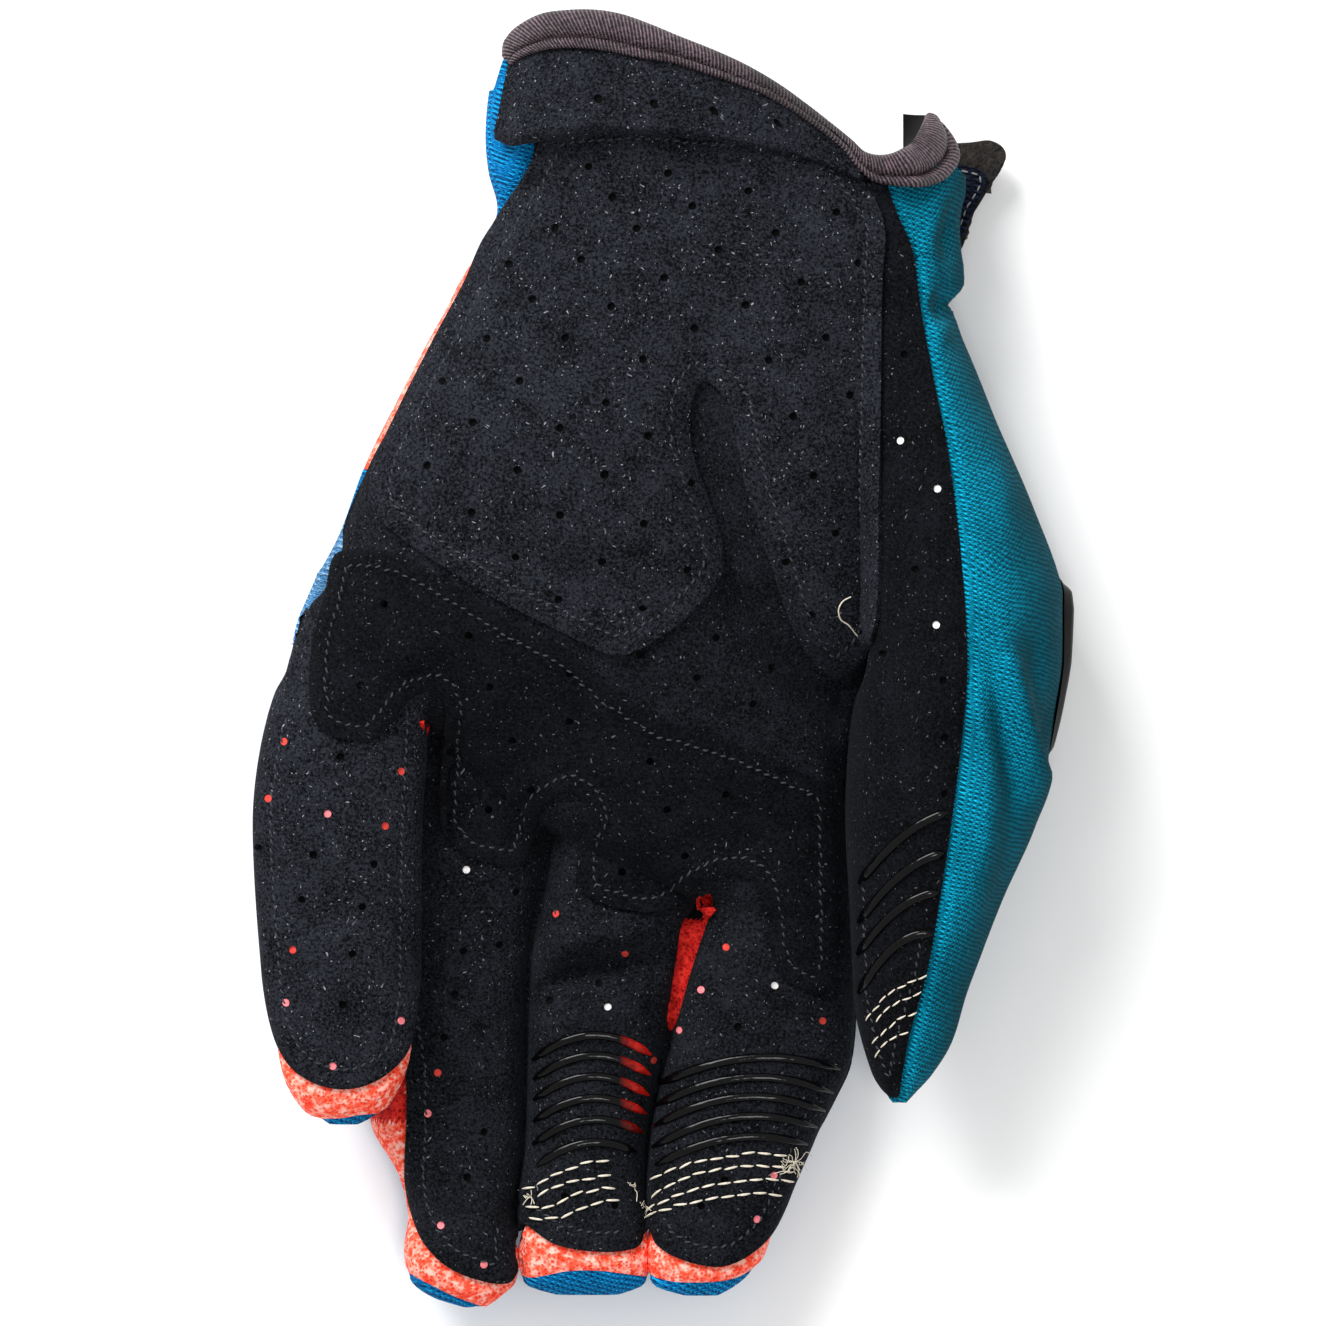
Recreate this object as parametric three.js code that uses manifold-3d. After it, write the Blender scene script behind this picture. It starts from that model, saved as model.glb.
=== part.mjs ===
// A mountain bike glove for the left hand, lying on its back with the palm up.
// Millimetres. +X points to the thumb, +Y to the cuff, +Z out of the palm; the table is z = 0.
//
// Each soft form (hand, four fingers, thumb) is a table of cross-sections. The glove's wall is the
// joined forms less the same forms drawn in by the wall's thickness, open at the wrist. The wall is
// then divided along its seams into the panels it is sewn from, and the suede patches, the silicone
// stripes, the cuff's binding, the strap and the rubber badge lie on it as pieces of their own.

import * as THREE from 'three';
import Module from 'manifold-3d';

const wasm = await Module();
wasm.setup();

// Sizes

const WALL = 1.5;
const GAP = 0.3;
const SKIN = 0.05;
const PATCH_TOP = 1.5;
const GRIP_TOP = 0.95;
const GRIP_WIDTH = 1.15;
const BADGE_TOP = 2.3;
const BINDING_WIDTH = 5.5;
const BINDING_WALL = 1.2;
const BINDING_LIP = 1.5;
const TIP_LENGTH = 9;
const VALLEY_WIDTH = 5.6;
const CREASE_DEPTH = 3.4;
const CREASE_WIDTH = 3.0;
const ROLL_HEIGHT = 1.6;
const ROLL_WIDTH = 5.0;
const WRIST_SPLIT = 15;

// Cross-sections, each [y, left x, right x, floor z, top z]

const HAND = [
  [118, -28, 50, 3.8, 29],
  [106, -28.5, 50.5, 3.8, 30],
  [97, -30, 50.5, 3.8, 30.5],
  [90, -30.5, 51, 3.8, 29.5],
  [84, -30, 52, 3.8, 28.5],
  [77, -28.5, 52, 3.8, 29],
  [70, -32, 51.7, 3.6, 30.2],
  [64, -35.5, 51, 1.8, 31.3],
  [56, -39.8, 50, 0, 32.5],
  [46, -45, 48, 0, 34],
  [34, -51, 45, 0, 34.5],
  [22, -55.5, 41, 0, 33.5],
  [12, -60.5, 40, 0, 32],
  [2, -63, 38, 0, 30],
  [-3, -56, 36.5, 0.2, 28.5],
  [-8, -46, 34, 0.5, 27],
  [-12, -38, 32.4, 0.8, 26],
  [-20, -30, 30.6, 1.5, 24.5],
  [-28, -20, 30.3, 2.3, 22.5],
  [-35, -6, 30, 3, 21],
  [-40, 6, 29.6, 3.6, 19.5],
  [-43, 15, 28, 5, 18],
];
const LITTLE = [
  [14, -58, -38, 6, 22],
  [-4, -66.2, -39.4, 6.5, 26.6],
  [-16, -69.3, -40.2, 10.3, 28],
  [-29, -70.3, -40.9, 13, 29.3],
  [-56, -68.5, -41.2, 14, 29.5],
  [-66, -66.8, -42, 14.6, 29.5],
  [-72.5, -64.2, -44.8, 16, 28.4],
  [-77, -61, -48, 17.8, 26.3],
  [-79, -57, -52, 20.5, 23.5],
];
const RING = [
  [2, -42, -18, 1, 19],
  [-18, -44, -18.5, 0, 15.5],
  [-30, -45.5, -20, 0, 15],
  [-50, -46.5, -23.3, 0, 15.2],
  [-66, -47.9, -24, 0.7, 15.5],
  [-75, -50.5, -24.2, 1, 15.9],
  [-88, -47, -24.4, 2, 17.3],
  [-101, -43.7, -24.5, 3.8, 18],
  [-106.5, -42, -26, 6, 17.2],
  [-109.3, -38.5, -28.2, 8.5, 15.5],
  [-110.8, -34.2, -30.2, 11, 13.5],
];
const MIDDLE = [
  [-8, -17, 8, 1, 20],
  [-30, -19, 7.6, 0, 17],
  [-41, -20.6, 6, 0, 16.5],
  [-50, -22.4, 3.2, 0, 16.5],
  [-66, -23.2, 0, 0.5, 17],
  [-83, -23.4, -3.2, 1.5, 17.6],
  [-98, -23.7, -3.3, 3.5, 18],
  [-104, -23, -3.2, 5.5, 17.4],
  [-107.2, -20.6, -5, 8, 16.2],
  [-108.6, -17, -8, 10.4, 14.6],
];
const INDEX = [
  [-20, 8.8, 30.4, 2, 21],
  [-41, 7.1, 30, 1, 19],
  [-54, 3.8, 30.3, 1, 18.5],
  [-68, 0.8, 30.3, 1.5, 18.8],
  [-80, -1.8, 27.5, 2.6, 19.3],
  [-91, -2.6, 23.4, 3.8, 19.5],
  [-100, -1.6, 18.5, 5, 18.9],
  [-104.7, -0.6, 14.6, 7, 17.8],
  [-107.4, 2, 11.2, 9.5, 16.3],
  [-108.7, 5, 9, 12, 14.6],
];
const THUMB = [
  [88, 36, 49, 8, 22],
  [64, 34, 50.5, 4, 27.5],
  [52, 32.8, 52.6, 2, 30.8],
  [40, 32.5, 57.6, 1.2, 34.4],
  [26, 33, 63.3, 1, 37.2],
  [12, 34, 67.5, 1.2, 38.7],
  [0, 34, 68, 2, 39],
  [-12, 32.2, 67, 3.5, 38.7],
  [-26, 31.4, 64.4, 5.6, 37.3],
  [-42, 32.1, 57.7, 8.5, 34.5],
  [-56, 32.7, 52.2, 11.5, 31.8],
  [-65, 33.8, 49.4, 13.8, 29.8],
  [-70.5, 35.8, 46, 16.2, 28],
  [-73.8, 37.9, 43, 18.8, 25.3],
  [-75.3, 39.2, 41.6, 20.8, 23.4],
];

// The hand's form is drawn again every few millimetres, closest where the palm is creased.

const HAND_ROWS = [
  118, 103, 96, 92, 88.5, 85, 78, 68, 58, 50, 42, 35, 28, 21, 14, 7, 1, -4, -10, -18, -28, -43,
];

// The life line, the deep valley beside the ball of the thumb, each [x, y, depth]

const LIFE_LINE = [
  [6.3, 49, 0.5],
  [5.1, 41.4, 3],
  [6, 34, 4.2],
  [8.4, 27.7, 4.8],
  [11.1, 20, 5.2],
  [14.9, 12.3, 5.6],
  [20.9, 3.8, 6.4],
  [26.8, -2.6, 7],
  [31, -5.6, 6.5],
];

// The places across a section, from its right side (1) to its left (-1), for its upper half and,
// the other way, its lower half. The hand's are closest where the life line runs, and the middle
// of the lower half is flat, as cloth lies on a table.

const ACROSS_HAND = [
  1, 0.97, 0.88, 0.76, 0.64, 0.53, 0.42, 0.31, 0.2, 0.06, -0.15, -0.45, -0.75, -0.92, -0.985,
];
const ACROSS_HAND_LOW = [-1, -0.95, -0.82, -0.6, 0.6, 0.82, 0.95];
const ACROSS = [1, 0.93, 0.65, 0, -0.65, -0.93];
const ACROSS_LOW = [-1, -0.85, -0.3, 0.3, 0.85];

// Each form's section: how square its upper and lower halves are, where it is widest, how much
// of its width lies flat, and the places of its points.

const FORMS = {
  hand: { rows: HAND, upper: 2.5, lower: 2.4, waist: 0.45, flat: 0.6 },
  little: { rows: LITTLE, upper: 2.4, lower: 2.3, waist: 0.48, flat: 0.2 },
  ring: { rows: RING, upper: 2.4, lower: 2.3, waist: 0.46, flat: 0.3 },
  middle: { rows: MIDDLE, upper: 2.4, lower: 2.3, waist: 0.46, flat: 0.3 },
  index: { rows: INDEX, upper: 2.4, lower: 2.3, waist: 0.46, flat: 0.3 },
  thumb: { rows: THUMB, upper: 2.3, lower: 2.3, waist: 0.48, flat: 0.1 },
};

// The share of a form's height at which the palm's suede ends, and at which the red side
// panels end above the blue back.

const SUEDE_LEVEL = { hand: 0.55, little: 0.6, ring: 0.6, middle: 0.6, index: 0.6 };
const HEM_LEVEL = { little: 0.3, ring: 0.3, middle: 0.3, index: 0.3 };
const GUSSET_START = { little: -11, ring: -21, middle: -33, index: -42 };
const GUSSET_END = { little: -76.4, ring: -108.2, middle: -106.4, index: -106.4 };

// The suede's free edge round each fingertip, from its left side to its right, each [x, y]

const SUEDE_END = {
  little: [[-74, -60], [-67.5, -62], [-65.6, -66.7], [-62.9, -69.7], [-58.6, -72.1],
    [-54.4, -72.8], [-50.1, -72], [-45.8, -69.4], [-42.4, -66.3], [-36, -62]],
  ring: [[-60, -58], [-45.2, -64], [-44.1, -72], [-44, -80], [-43.8, -88.5], [-42.9, -94],
    [-40.7, -99.7], [-36.4, -103.9], [-30.4, -106.2], [-26.2, -106.5], [-24.6, -105],
    [-18, -103]],
  middle: [[-30, -95], [-23.6, -97.1], [-18.5, -99.7], [-10.8, -101], [-4.8, -100.5],
    [-2.2, -99.3], [4, -97]],
  index: [[-9, -95], [-2.6, -97.9], [-1.4, -99.7], [2.9, -102.2], [8.9, -103.6],
    [13.2, -102.6], [17.4, -99.7], [20.9, -94.5], [23.4, -88.5], [32, -80]],
};

// The seam down the thumb between the suede and the knit, each [x, y]

const THUMB_SEAM = [
  [37.8, 92], [38.2, 81.7], [40, 76.4], [42.6, 70.4], [43.9, 61.9], [46, 49], [48.4, 36.2],
  [50.3, 19.1], [51.5, 2.1], [51.3, -6.5], [49.4, -23.6], [47, -40.7], [44.8, -53.5],
  [41.7, -63.8], [40, -71.5], [39.3, -80],
];

// The suede patch over the heel of the palm, round its edge, each [x, y]

const HEEL_PATCH = [
  [-20.2, 86.6], [6.3, 84.8], [30, 81.6], [35.7, 78.5], [37, 73.8], [37, 58.5], [37, 44.8],
  [37.2, 27.7], [37.2, 10.6], [35.7, 3.2], [32, -1.2], [29.4, -2.6], [26, -0.2],
  [23.4, 4], [19.1, 15.7], [14, 31.1], [11.5, 43.1], [8.9, 47], [6.7, 48.5], [5.1, 44.8],
  [4.3, 37.9], [7.4, 28.5], [10.1, 19.1], [9.4, 14], [6.3, 10.1], [2.9, 6.8], [-2.2, 3.2],
  [-6.5, 1.5], [-9.9, 1.7], [-17.6, 5.5], [-27.9, 10.6], [-36.4, 15.7], [-47.5, 23.4],
  [-49.8, 26.6], [-50.9, 32.8], [-47.5, 41.4], [-41.4, 54.2], [-35.6, 64.4], [-30.6, 76.4],
  [-28.4, 83], [-26.2, 86.2],
];

// The suede patch over the finger bases, round its edge, each [x, y]

const KNUCKLE_PATCH = [
  [-56.9, 18.6], [-45.8, 18.4], [-38.1, 14.6], [-24.4, 6.4], [-15.9, 2], [-9.1, -4],
  [-0.5, -9.6], [7.2, -12], [17.9, -16.2], [24.8, -19.7], [28.8, -21], [29.2, -38],
  [29.4, -54], [26.8, -57.8], [22.6, -56.1], [19.1, -52.6], [17.4, -41.5], [15.7, -37.3],
  [12.3, -36.1], [8, -36.9], [4.6, -39], [1.2, -42.1], [-3.1, -43.2], [-7.4, -42.4],
  [-11.6, -40.7], [-14.2, -38.6], [-13.7, -30.4], [-12.1, -25.5], [-15, -21.9],
  [-17.6, -22.4], [-20.2, -24.4], [-21.9, -28], [-24.4, -34.4], [-29.6, -34.4],
  [-34, -33], [-37.3, -29.6], [-38.6, -26.2], [-38.5, -18.5], [-36.8, -8.2],
  [-37.6, -5.1], [-39.8, -4.4], [-43.2, -6], [-47.5, -11.6], [-50.1, -13.3],
  [-55.2, -13], [-59.5, -10.8], [-61.4, -6], [-61, 3], [-58.6, 12],
];

// The edge of the cuff's binding as seen from above, on the palm's side and on the back's,
// each [x, y]

const PALM_RIM = [
  [-42, 103.5], [-27.5, 103.5], [-25, 107.4], [-20, 110.3], [-15, 110.9], [-7, 110.2],
  [0, 108], [6.3, 105.3], [14.9, 101.2], [23.4, 96], [30.3, 90.6], [34, 87.6], [40, 87],
  [46, 87.6], [52, 85.5], [64, 85.5],
];
const BACK_RIM = [
  [-42, 103.5], [-27, 103.5], [-18, 100], [-5, 93], [10, 88], [25, 86], [34, 87],
  [39.5, 91.5], [43, 93.6], [47, 92.6], [50, 89.5], [52, 85.5], [64, 85.5],
];
const RIM_TOP = 130;

// Silicone stripes, each [left x, left y, crown x, crown y, right x, right y]

const GRIP_STRIPES = {
  middle: [
    [-21.6, -67.6, -12.5, -64.1, -2.2, -66],
    [-21.9, -71.8, -12.5, -67.4, -3, -70.4],
    [-22, -75.2, -12.5, -70.9, -3.4, -74.3],
    [-22.1, -79.2, -12.2, -74.9, -4, -77.5],
    [-22.2, -83.2, -12.2, -78.5, -4.4, -80.7],
    [-22.2, -87.2, -12, -82.4, -5, -84.8],
  ],
  index: [
    [-0.2, -72.4, 14, -67.7, 28, -70.4],
    [-0.8, -76.2, 12.6, -70.8, 27.8, -74.2],
    [-1.2, -79.4, 12.4, -74, 26, -76.6],
    [-1.4, -83, 13.6, -77.2, 24, -78.9],
    [-1.6, -86.2, 13.6, -81, 22.6, -82.9],
  ],
  thumb: [
    [33.4, -37.6, 38.8, -31.3, 48.4, -25.4],
    [33.3, -44.4, 38.8, -37.6, 47.7, -32.3],
    [33.2, -49.8, 38.8, -43, 46.9, -39],
    [33.4, -56.4, 38.2, -49.4, 45.9, -46.2],
  ],
};
const GRIP_STEPS = 4;

// The strap that closes the wrist, each [x, low y, high y, low z]; its free end rises at the thumb

const STRAP = [
  [-12, 73, 90, 0],
  [8, 72, 91, 0],
  [40, 71.5, 91, 0],
  [46, 71.4, 90.2, 0.4],
  [51.2, 71.2, 89.6, 1.6],
  [53.3, 76.5, 89.7, 2.6],
  [55.5, 80.4, 89.9, 3.3],
  [57.5, 83.8, 89.3, 4.2],
  [59.1, 86.4, 87.8, 4.8],
];
const STRAP_THICK = 2;

const RUBBER_BADGE = { low: [60, -16.2, 7], high: [80, 13.5, 23] };

const MATERIALS = {
  suede: new THREE.MeshStandardMaterial({ color: 0x1c1d22, roughness: 0.93, metalness: 0 }),
  knit_teal: new THREE.MeshStandardMaterial({ color: 0x128fb5, roughness: 0.85, metalness: 0 }),
  knit_blue: new THREE.MeshStandardMaterial({ color: 0x185a8e, roughness: 0.85, metalness: 0 }),
  mesh_red: new THREE.MeshStandardMaterial({ color: 0xf04a32, roughness: 0.8, metalness: 0 }),
  binding: new THREE.MeshStandardMaterial({ color: 0x3b2f35, roughness: 0.8, metalness: 0 }),
  hook_loop: new THREE.MeshStandardMaterial({ color: 0x17171a, roughness: 0.95, metalness: 0 }),
  rubber: new THREE.MeshStandardMaterial({ color: 0x111113, roughness: 0.6, metalness: 0 }),
  silicone: new THREE.MeshStandardMaterial({ color: 0x0d0d0f, roughness: 0.25, metalness: 0 }),
};

// A solid from points and triangles, turned so that its faces point out

function solidFrom(points, triangles) {
  const corner = (v) => new THREE.Vector3(...points[v]);
  const volume = triangles.reduce((sum, [a, b, c]) => {
    return sum + corner(a).dot(corner(b).cross(corner(c)));
  }, 0);
  if (volume < 0) triangles.forEach((triangle) => triangle.reverse());
  const data = new wasm.Mesh({
    numProp: 3,
    vertProperties: new Float32Array(points.flat()),
    triVerts: new Uint32Array(triangles.flat()),
  });
  return new wasm.Manifold(data);
}

function joined(solids) {
  return solids.reduce((sum, solid) => sum.add(solid));
}

// A closed solid through a row of rings that all hold the same number of points

function loft(rings) {
  const count = rings[0].length;
  const points = rings.flat();
  const triangles = [];
  for (let row = 0; row + 1 < rings.length; row += 1) {
    for (let k = 0; k < count; k += 1) {
      const a = row * count + k;
      const b = row * count + (k + 1) % count;
      triangles.push([a, b, b + count], [a, b + count, a + count]);
    }
  }
  const ends = [[0, 1], [rings.length - 1, -1]];
  for (const [row, side] of ends) {
    const centre = new THREE.Vector3();
    rings[row].forEach((p) => centre.add(new THREE.Vector3(...p)));
    centre.divideScalar(count);
    const hub = points.push(centre.toArray()) - 1;
    for (let k = 0; k < count; k += 1) {
      const a = row * count + k;
      const b = row * count + (k + 1) % count;
      triangles.push(side > 0 ? [hub, b, a] : [hub, a, b]);
    }
  }
  return solidFrom(points, triangles);
}

// A flat outline, each [x, y], raised from one height to another

function prism(outline, low, high) {
  const path = outline.map(([x, y]) => new THREE.Vector2(x, y));
  if (THREE.ShapeUtils.area(path) < 0) path.reverse();
  const count = path.length;
  const points = [];
  path.forEach((p) => points.push([p.x, p.y, low]));
  path.forEach((p) => points.push([p.x, p.y, high]));
  const triangles = [];
  for (const [a, b, c] of THREE.ShapeUtils.triangulateShape(path, [])) {
    triangles.push([c, b, a], [a + count, b + count, c + count]);
  }
  for (let a = 0; a < count; a += 1) {
    const b = (a + 1) % count;
    triangles.push([a, b, b + count], [a, b + count, a + count]);
  }
  return solidFrom(points, triangles);
}

// An outline moved outwards by a distance, or inwards where it is negative

function spread(outline, distance) {
  const path = outline.map(([x, y]) => new THREE.Vector2(x, y));
  const turn = THREE.ShapeUtils.area(path) < 0 ? -1 : 1;
  return path.map((p, k) => {
    const before = path[(k + path.length - 1) % path.length];
    const after = path[(k + 1) % path.length];
    const a = p.clone().sub(before).normalize();
    const b = after.clone().sub(p).normalize();
    const out = new THREE.Vector2(a.y + b.y, -a.x - b.x).normalize();
    const reach = distance * turn / Math.max(0.5, out.x * a.y - out.y * a.x);
    return [p.x + out.x * reach, p.y + out.y * reach];
  });
}

// A form's row at any y, drawn smoothly between the rows of its table

function rowAt(rows, y) {
  let k = 0;
  while (k + 2 < rows.length && rows[k + 1][0] > y) k += 1;
  const low = rows[k];
  const high = rows[k + 1];
  const before = rows[Math.max(0, k - 1)];
  const after = rows[Math.min(rows.length - 1, k + 2)];
  const span = high[0] - low[0];
  const t = Math.min(1, Math.max(0, (y - low[0]) / span));
  return low.map((value, i) => {
    if (i === 0) return y;
    const step = high[i] - value;
    const slopeLow = k > 0 ? (high[i] - before[i]) / (high[0] - before[0]) * span : step;
    const slopeHigh = k + 2 < rows.length ? (after[i] - value) / (after[0] - low[0]) * span : step;
    const m = Math.abs(slopeLow) > 3 * Math.abs(step) ? 3 * step : slopeLow;
    const n = Math.abs(slopeHigh) > 3 * Math.abs(step) ? 3 * step : slopeHigh;
    const t2 = t * t;
    const t3 = t2 * t;
    return (2 * t3 - 3 * t2 + 1) * value + (t3 - 2 * t2 + t) * m
      + (3 * t2 - 2 * t3) * high[i] + (t3 - t2) * n;
  });
}

// How far the palm side of the hand lies below its plain section: the life line's valley,
// the crease under the cuff and, as a rise, the roll of suede above it

function dent(x, y) {
  let depth = 0;
  for (let k = 0; k + 1 < LIFE_LINE.length; k += 1) {
    const [x0, y0, d0] = LIFE_LINE[k];
    const [x1, y1, d1] = LIFE_LINE[k + 1];
    const along = ((x - x0) * (x1 - x0) + (y - y0) * (y1 - y0)) / ((x1 - x0) ** 2 + (y1 - y0) ** 2);
    const t = Math.min(1, Math.max(0, along));
    const away = Math.hypot(x - x0 - t * (x1 - x0), y - y0 - t * (y1 - y0));
    const here = (d0 + t * (d1 - d0)) * Math.exp(-((away / VALLEY_WIDTH) ** 2));
    depth = Math.max(depth, here);
  }
  const crease = 89.2 - 0.086 * (x + 28.7);
  const across = 1 / (1 + Math.exp((x - 34) / 2));
  depth += across * CREASE_DEPTH * Math.exp(-(((y - crease) / CREASE_WIDTH) ** 2));
  depth -= across * ROLL_HEIGHT * Math.exp(-(((y - crease - 9) / ROLL_WIDTH) ** 2));
  return depth;
}

// One ring of a form's surface, grown outwards or inwards by a distance

function ring(name, y, grow) {
  const form = FORMS[name];
  const [, left, right, floor, top] = rowAt(form.rows, y);
  const centre = (left + right) / 2;
  const half = Math.max(0.4, (right - left) / 2 + grow);
  const waist = floor + (top - floor) * form.waist;
  const up = Math.max(0.5, top - waist + grow);
  const down = Math.max(0.5, waist - floor + grow);
  const lastY = form.rows[form.rows.length - 1][0];
  const nearTip = Math.min(1, Math.max(0, 1 - (y - lastY) / TIP_LENGTH));
  const nearWrist = name === 'hand' && grow < 0 && y > 117 ? 2 : 0;
  const place = y - grow * nearTip + nearWrist;
  const points = [];
  for (const u of name === 'hand' ? ACROSS_HAND : ACROSS) {
    const rise = (1 - Math.abs(u) ** form.upper) ** (1 / form.upper);
    const x = centre + half * u;
    const sink = name === 'hand' ? dent(x, y) * Math.min(1, rise * 1.6) : 0;
    points.push([x, place, waist + up * rise - sink]);
  }
  for (const u of name === 'hand' ? ACROSS_HAND_LOW : ACROSS_LOW) {
    const bent = Math.max(0, (Math.abs(u) - form.flat) / (1 - form.flat));
    const fall = (1 - bent ** form.lower) ** (1 / form.lower);
    points.push([centre + half * u, place, waist - down * fall]);
  }
  return points;
}

function form(name, grow) {
  const ys = name === 'hand' ? HAND_ROWS : FORMS[name].rows.map((row) => row[0]);
  return loft(ys.map((y) => ring(name, y, grow)));
}

const NAMES = Object.keys(FORMS);
const FINGERS = ['little', 'ring', 'middle', 'index'];

function glove(grow) {
  return joined(NAMES.map((name) => form(name, grow)));
}

// All of a form that lies above a share of its height, to well over its top

function above(name, level, grow) {
  const rows = FORMS[name].rows;
  const some = rows.filter((_, k) => k % 3 === 0 || k === rows.length - 1);
  const rings = some.map(([y, left, right, floor, top]) => {
    const z = floor + (top - floor) * level - grow;
    return [[left - 9, y, z], [right + 9, y, z], [right + 9, y, top + 20], [left - 9, y, top + 20]];
  });
  const first = rings[0].map(([x, y, z]) => [x, y + 5, z]);
  const last = rings[rings.length - 1].map(([x, y, z]) => [x, y - 5, z]);
  return loft([first, ...rings, last]);
}

// Everything on the far side of a line of points, between two heights

function side(line, far, low, high) {
  const ends = [far(line[line.length - 1]), far(line[0])];
  return prism([...line, ...ends], low, high);
}

// The part of a solid that holds most of it, where cutting has left crumbs

function largest(solid) {
  const mesh = solid.getMesh();
  const { vertProperties, triVerts, numProp } = mesh;
  const keys = new Map();
  const same = new Uint32Array(vertProperties.length / numProp);
  for (let v = 0; v < same.length; v += 1) {
    const key = vertProperties.slice(v * numProp, v * numProp + 3).join(' ');
    if (!keys.has(key)) keys.set(key, v);
    same[v] = keys.get(key);
  }
  const parent = Uint32Array.from(same, (_, v) => v);
  const root = (v) => {
    let r = v;
    while (parent[r] !== r) r = parent[r];
    while (parent[v] !== r) [parent[v], v] = [r, parent[v]];
    return r;
  };
  for (let k = 0; k < triVerts.length; k += 3) {
    const a = root(same[triVerts[k]]);
    parent[root(same[triVerts[k + 1]])] = a;
    parent[root(same[triVerts[k + 2]])] = a;
  }
  const bodies = new Map();
  for (let k = 0; k < triVerts.length; k += 3) {
    const corners = [0, 1, 2].map((n) => same[triVerts[k + n]]);
    const [a, b, c] = corners.map((v) => new THREE.Vector3().fromArray(vertProperties, v * numProp));
    const id = root(corners[0]);
    const body = bodies.get(id) || { volume: 0, corners: [] };
    body.volume += a.dot(b.cross(c)) / 6;
    body.corners.push(...corners);
    bodies.set(id, body);
  }
  const best = [...bodies.values()].reduce((a, b) => (b.volume > a.volume ? b : a));
  const used = new Map();
  const positions = [];
  const index = best.corners.map((v) => {
    if (!used.has(v)) {
      used.set(v, used.size);
      positions.push(...vertProperties.slice(v * numProp, v * numProp + 3));
    }
    return used.get(v);
  });
  return { positions, index };
}

const group = new THREE.Group();
group.name = 'mountain_bike_glove';

function place(name, solid, material) {
  const { positions, index } = largest(solid);
  const geometry = new THREE.BufferGeometry();
  geometry.setAttribute('position', new THREE.Float32BufferAttribute(positions, 3));
  geometry.setIndex(index);
  geometry.computeVertexNormals();
  const mesh = new THREE.Mesh(geometry, MATERIALS[material]);
  mesh.name = name;
  group.add(mesh);
}

// Everything past the binding's edge, moved along the glove by a distance

function pastRim(move) {
  const shift = ([x, y]) => [x, y + move];
  const far = ([x]) => [x, RIM_TOP + 10];
  const palmSide = side(PALM_RIM.map(shift), far, WRIST_SPLIT, 60);
  const backSide = side(BACK_RIM.map(shift), far, -20, WRIST_SPLIT);
  return palmSide.add(backSide);
}

// The wall of the glove

const outer = glove(0);
const wall = outer.subtract(glove(-WALL)).subtract(pastRim(-BINDING_LIP));

// The regions the panels are cut to. Each takes a growth, so that its neighbour can be cut
// clear of it by the gap.

function suedeRegion(grow) {
  const hand = form('hand', SKIN + grow).intersect(above('hand', SUEDE_LEVEL.hand, grow));
  const fingers = FINGERS.map((name) => {
    const ends = SUEDE_END[name];
    const outline = spread([...ends, [ends[ends.length - 1][0], 30], [ends[0][0], 30]], grow);
    const upper = above(name, SUEDE_LEVEL[name], grow);
    return form(name, SKIN + grow).intersect(upper).intersect(prism(outline, -5, 60));
  });
  return joined([hand, ...fingers]);
}

function gussetRegion(name, grow) {
  const start = GUSSET_START[name] + grow;
  const end = GUSSET_END[name] - grow;
  const box = [[-90, end], [60, end], [60, start], [-90, start]];
  const upper = above(name, HEM_LEVEL[name], grow);
  return form(name, SKIN + grow).intersect(upper).intersect(prism(box, -5, 60));
}

function thumbRegion(grow) {
  const edge = 37.4 - grow;
  const wrist = prism([[edge, 60], [70, 60], [70, 125], [edge, 125]], -5, 60);
  return form('thumb', SKIN + grow).add(form('hand', SKIN + grow).intersect(wrist));
}

function thumbFront(grow) {
  const seam = THUMB_SEAM.map(([x, y]) => [x + grow, y]);
  const left = side(seam, ([, y]) => [0, y], -5, 60);
  return left.intersect(above('thumb', 0.45, grow));
}

const suede = suedeRegion(0);
const suedeGrown = suedeRegion(GAP);
const thumb = thumbRegion(0);
const thumbGrown = thumbRegion(GAP);

place('palm_panel', wall.intersect(suede).subtract(thumbGrown), 'suede');

place('thumb_panel', wall.intersect(thumb).intersect(thumbFront(0)), 'suede');
place('thumb_back', wall.intersect(thumb).subtract(thumbFront(GAP)), 'knit_teal');

let back = wall.subtract(suedeGrown).subtract(thumbGrown);
for (const name of FINGERS) {
  const region = gussetRegion(name, 0);
  const piece = wall.intersect(region).subtract(suedeGrown).subtract(thumbGrown);
  place(`${name}_gusset`, piece, 'mesh_red');
  back = back.subtract(gussetRegion(name, GAP));
}
place('back_panel', back, 'knit_blue');

// The patches and the stripes are layers over the wall, cut to their outlines.

const frontOnly = joined(NAMES.map((name) => {
  return form(name, 6).intersect(above(name, name === 'hand' ? 0.62 : 0.66, 0));
}));
const patchLayer = glove(PATCH_TOP).subtract(glove(GAP)).intersect(frontOnly);

place('heel_patch', patchLayer.intersect(prism(HEEL_PATCH, -5, 60)), 'suede');
place('knuckle_patch', patchLayer.intersect(prism(KNUCKLE_PATCH, -5, 60)), 'suede');

// A stripe's outline: a band of even width along the curve through its three points

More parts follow.
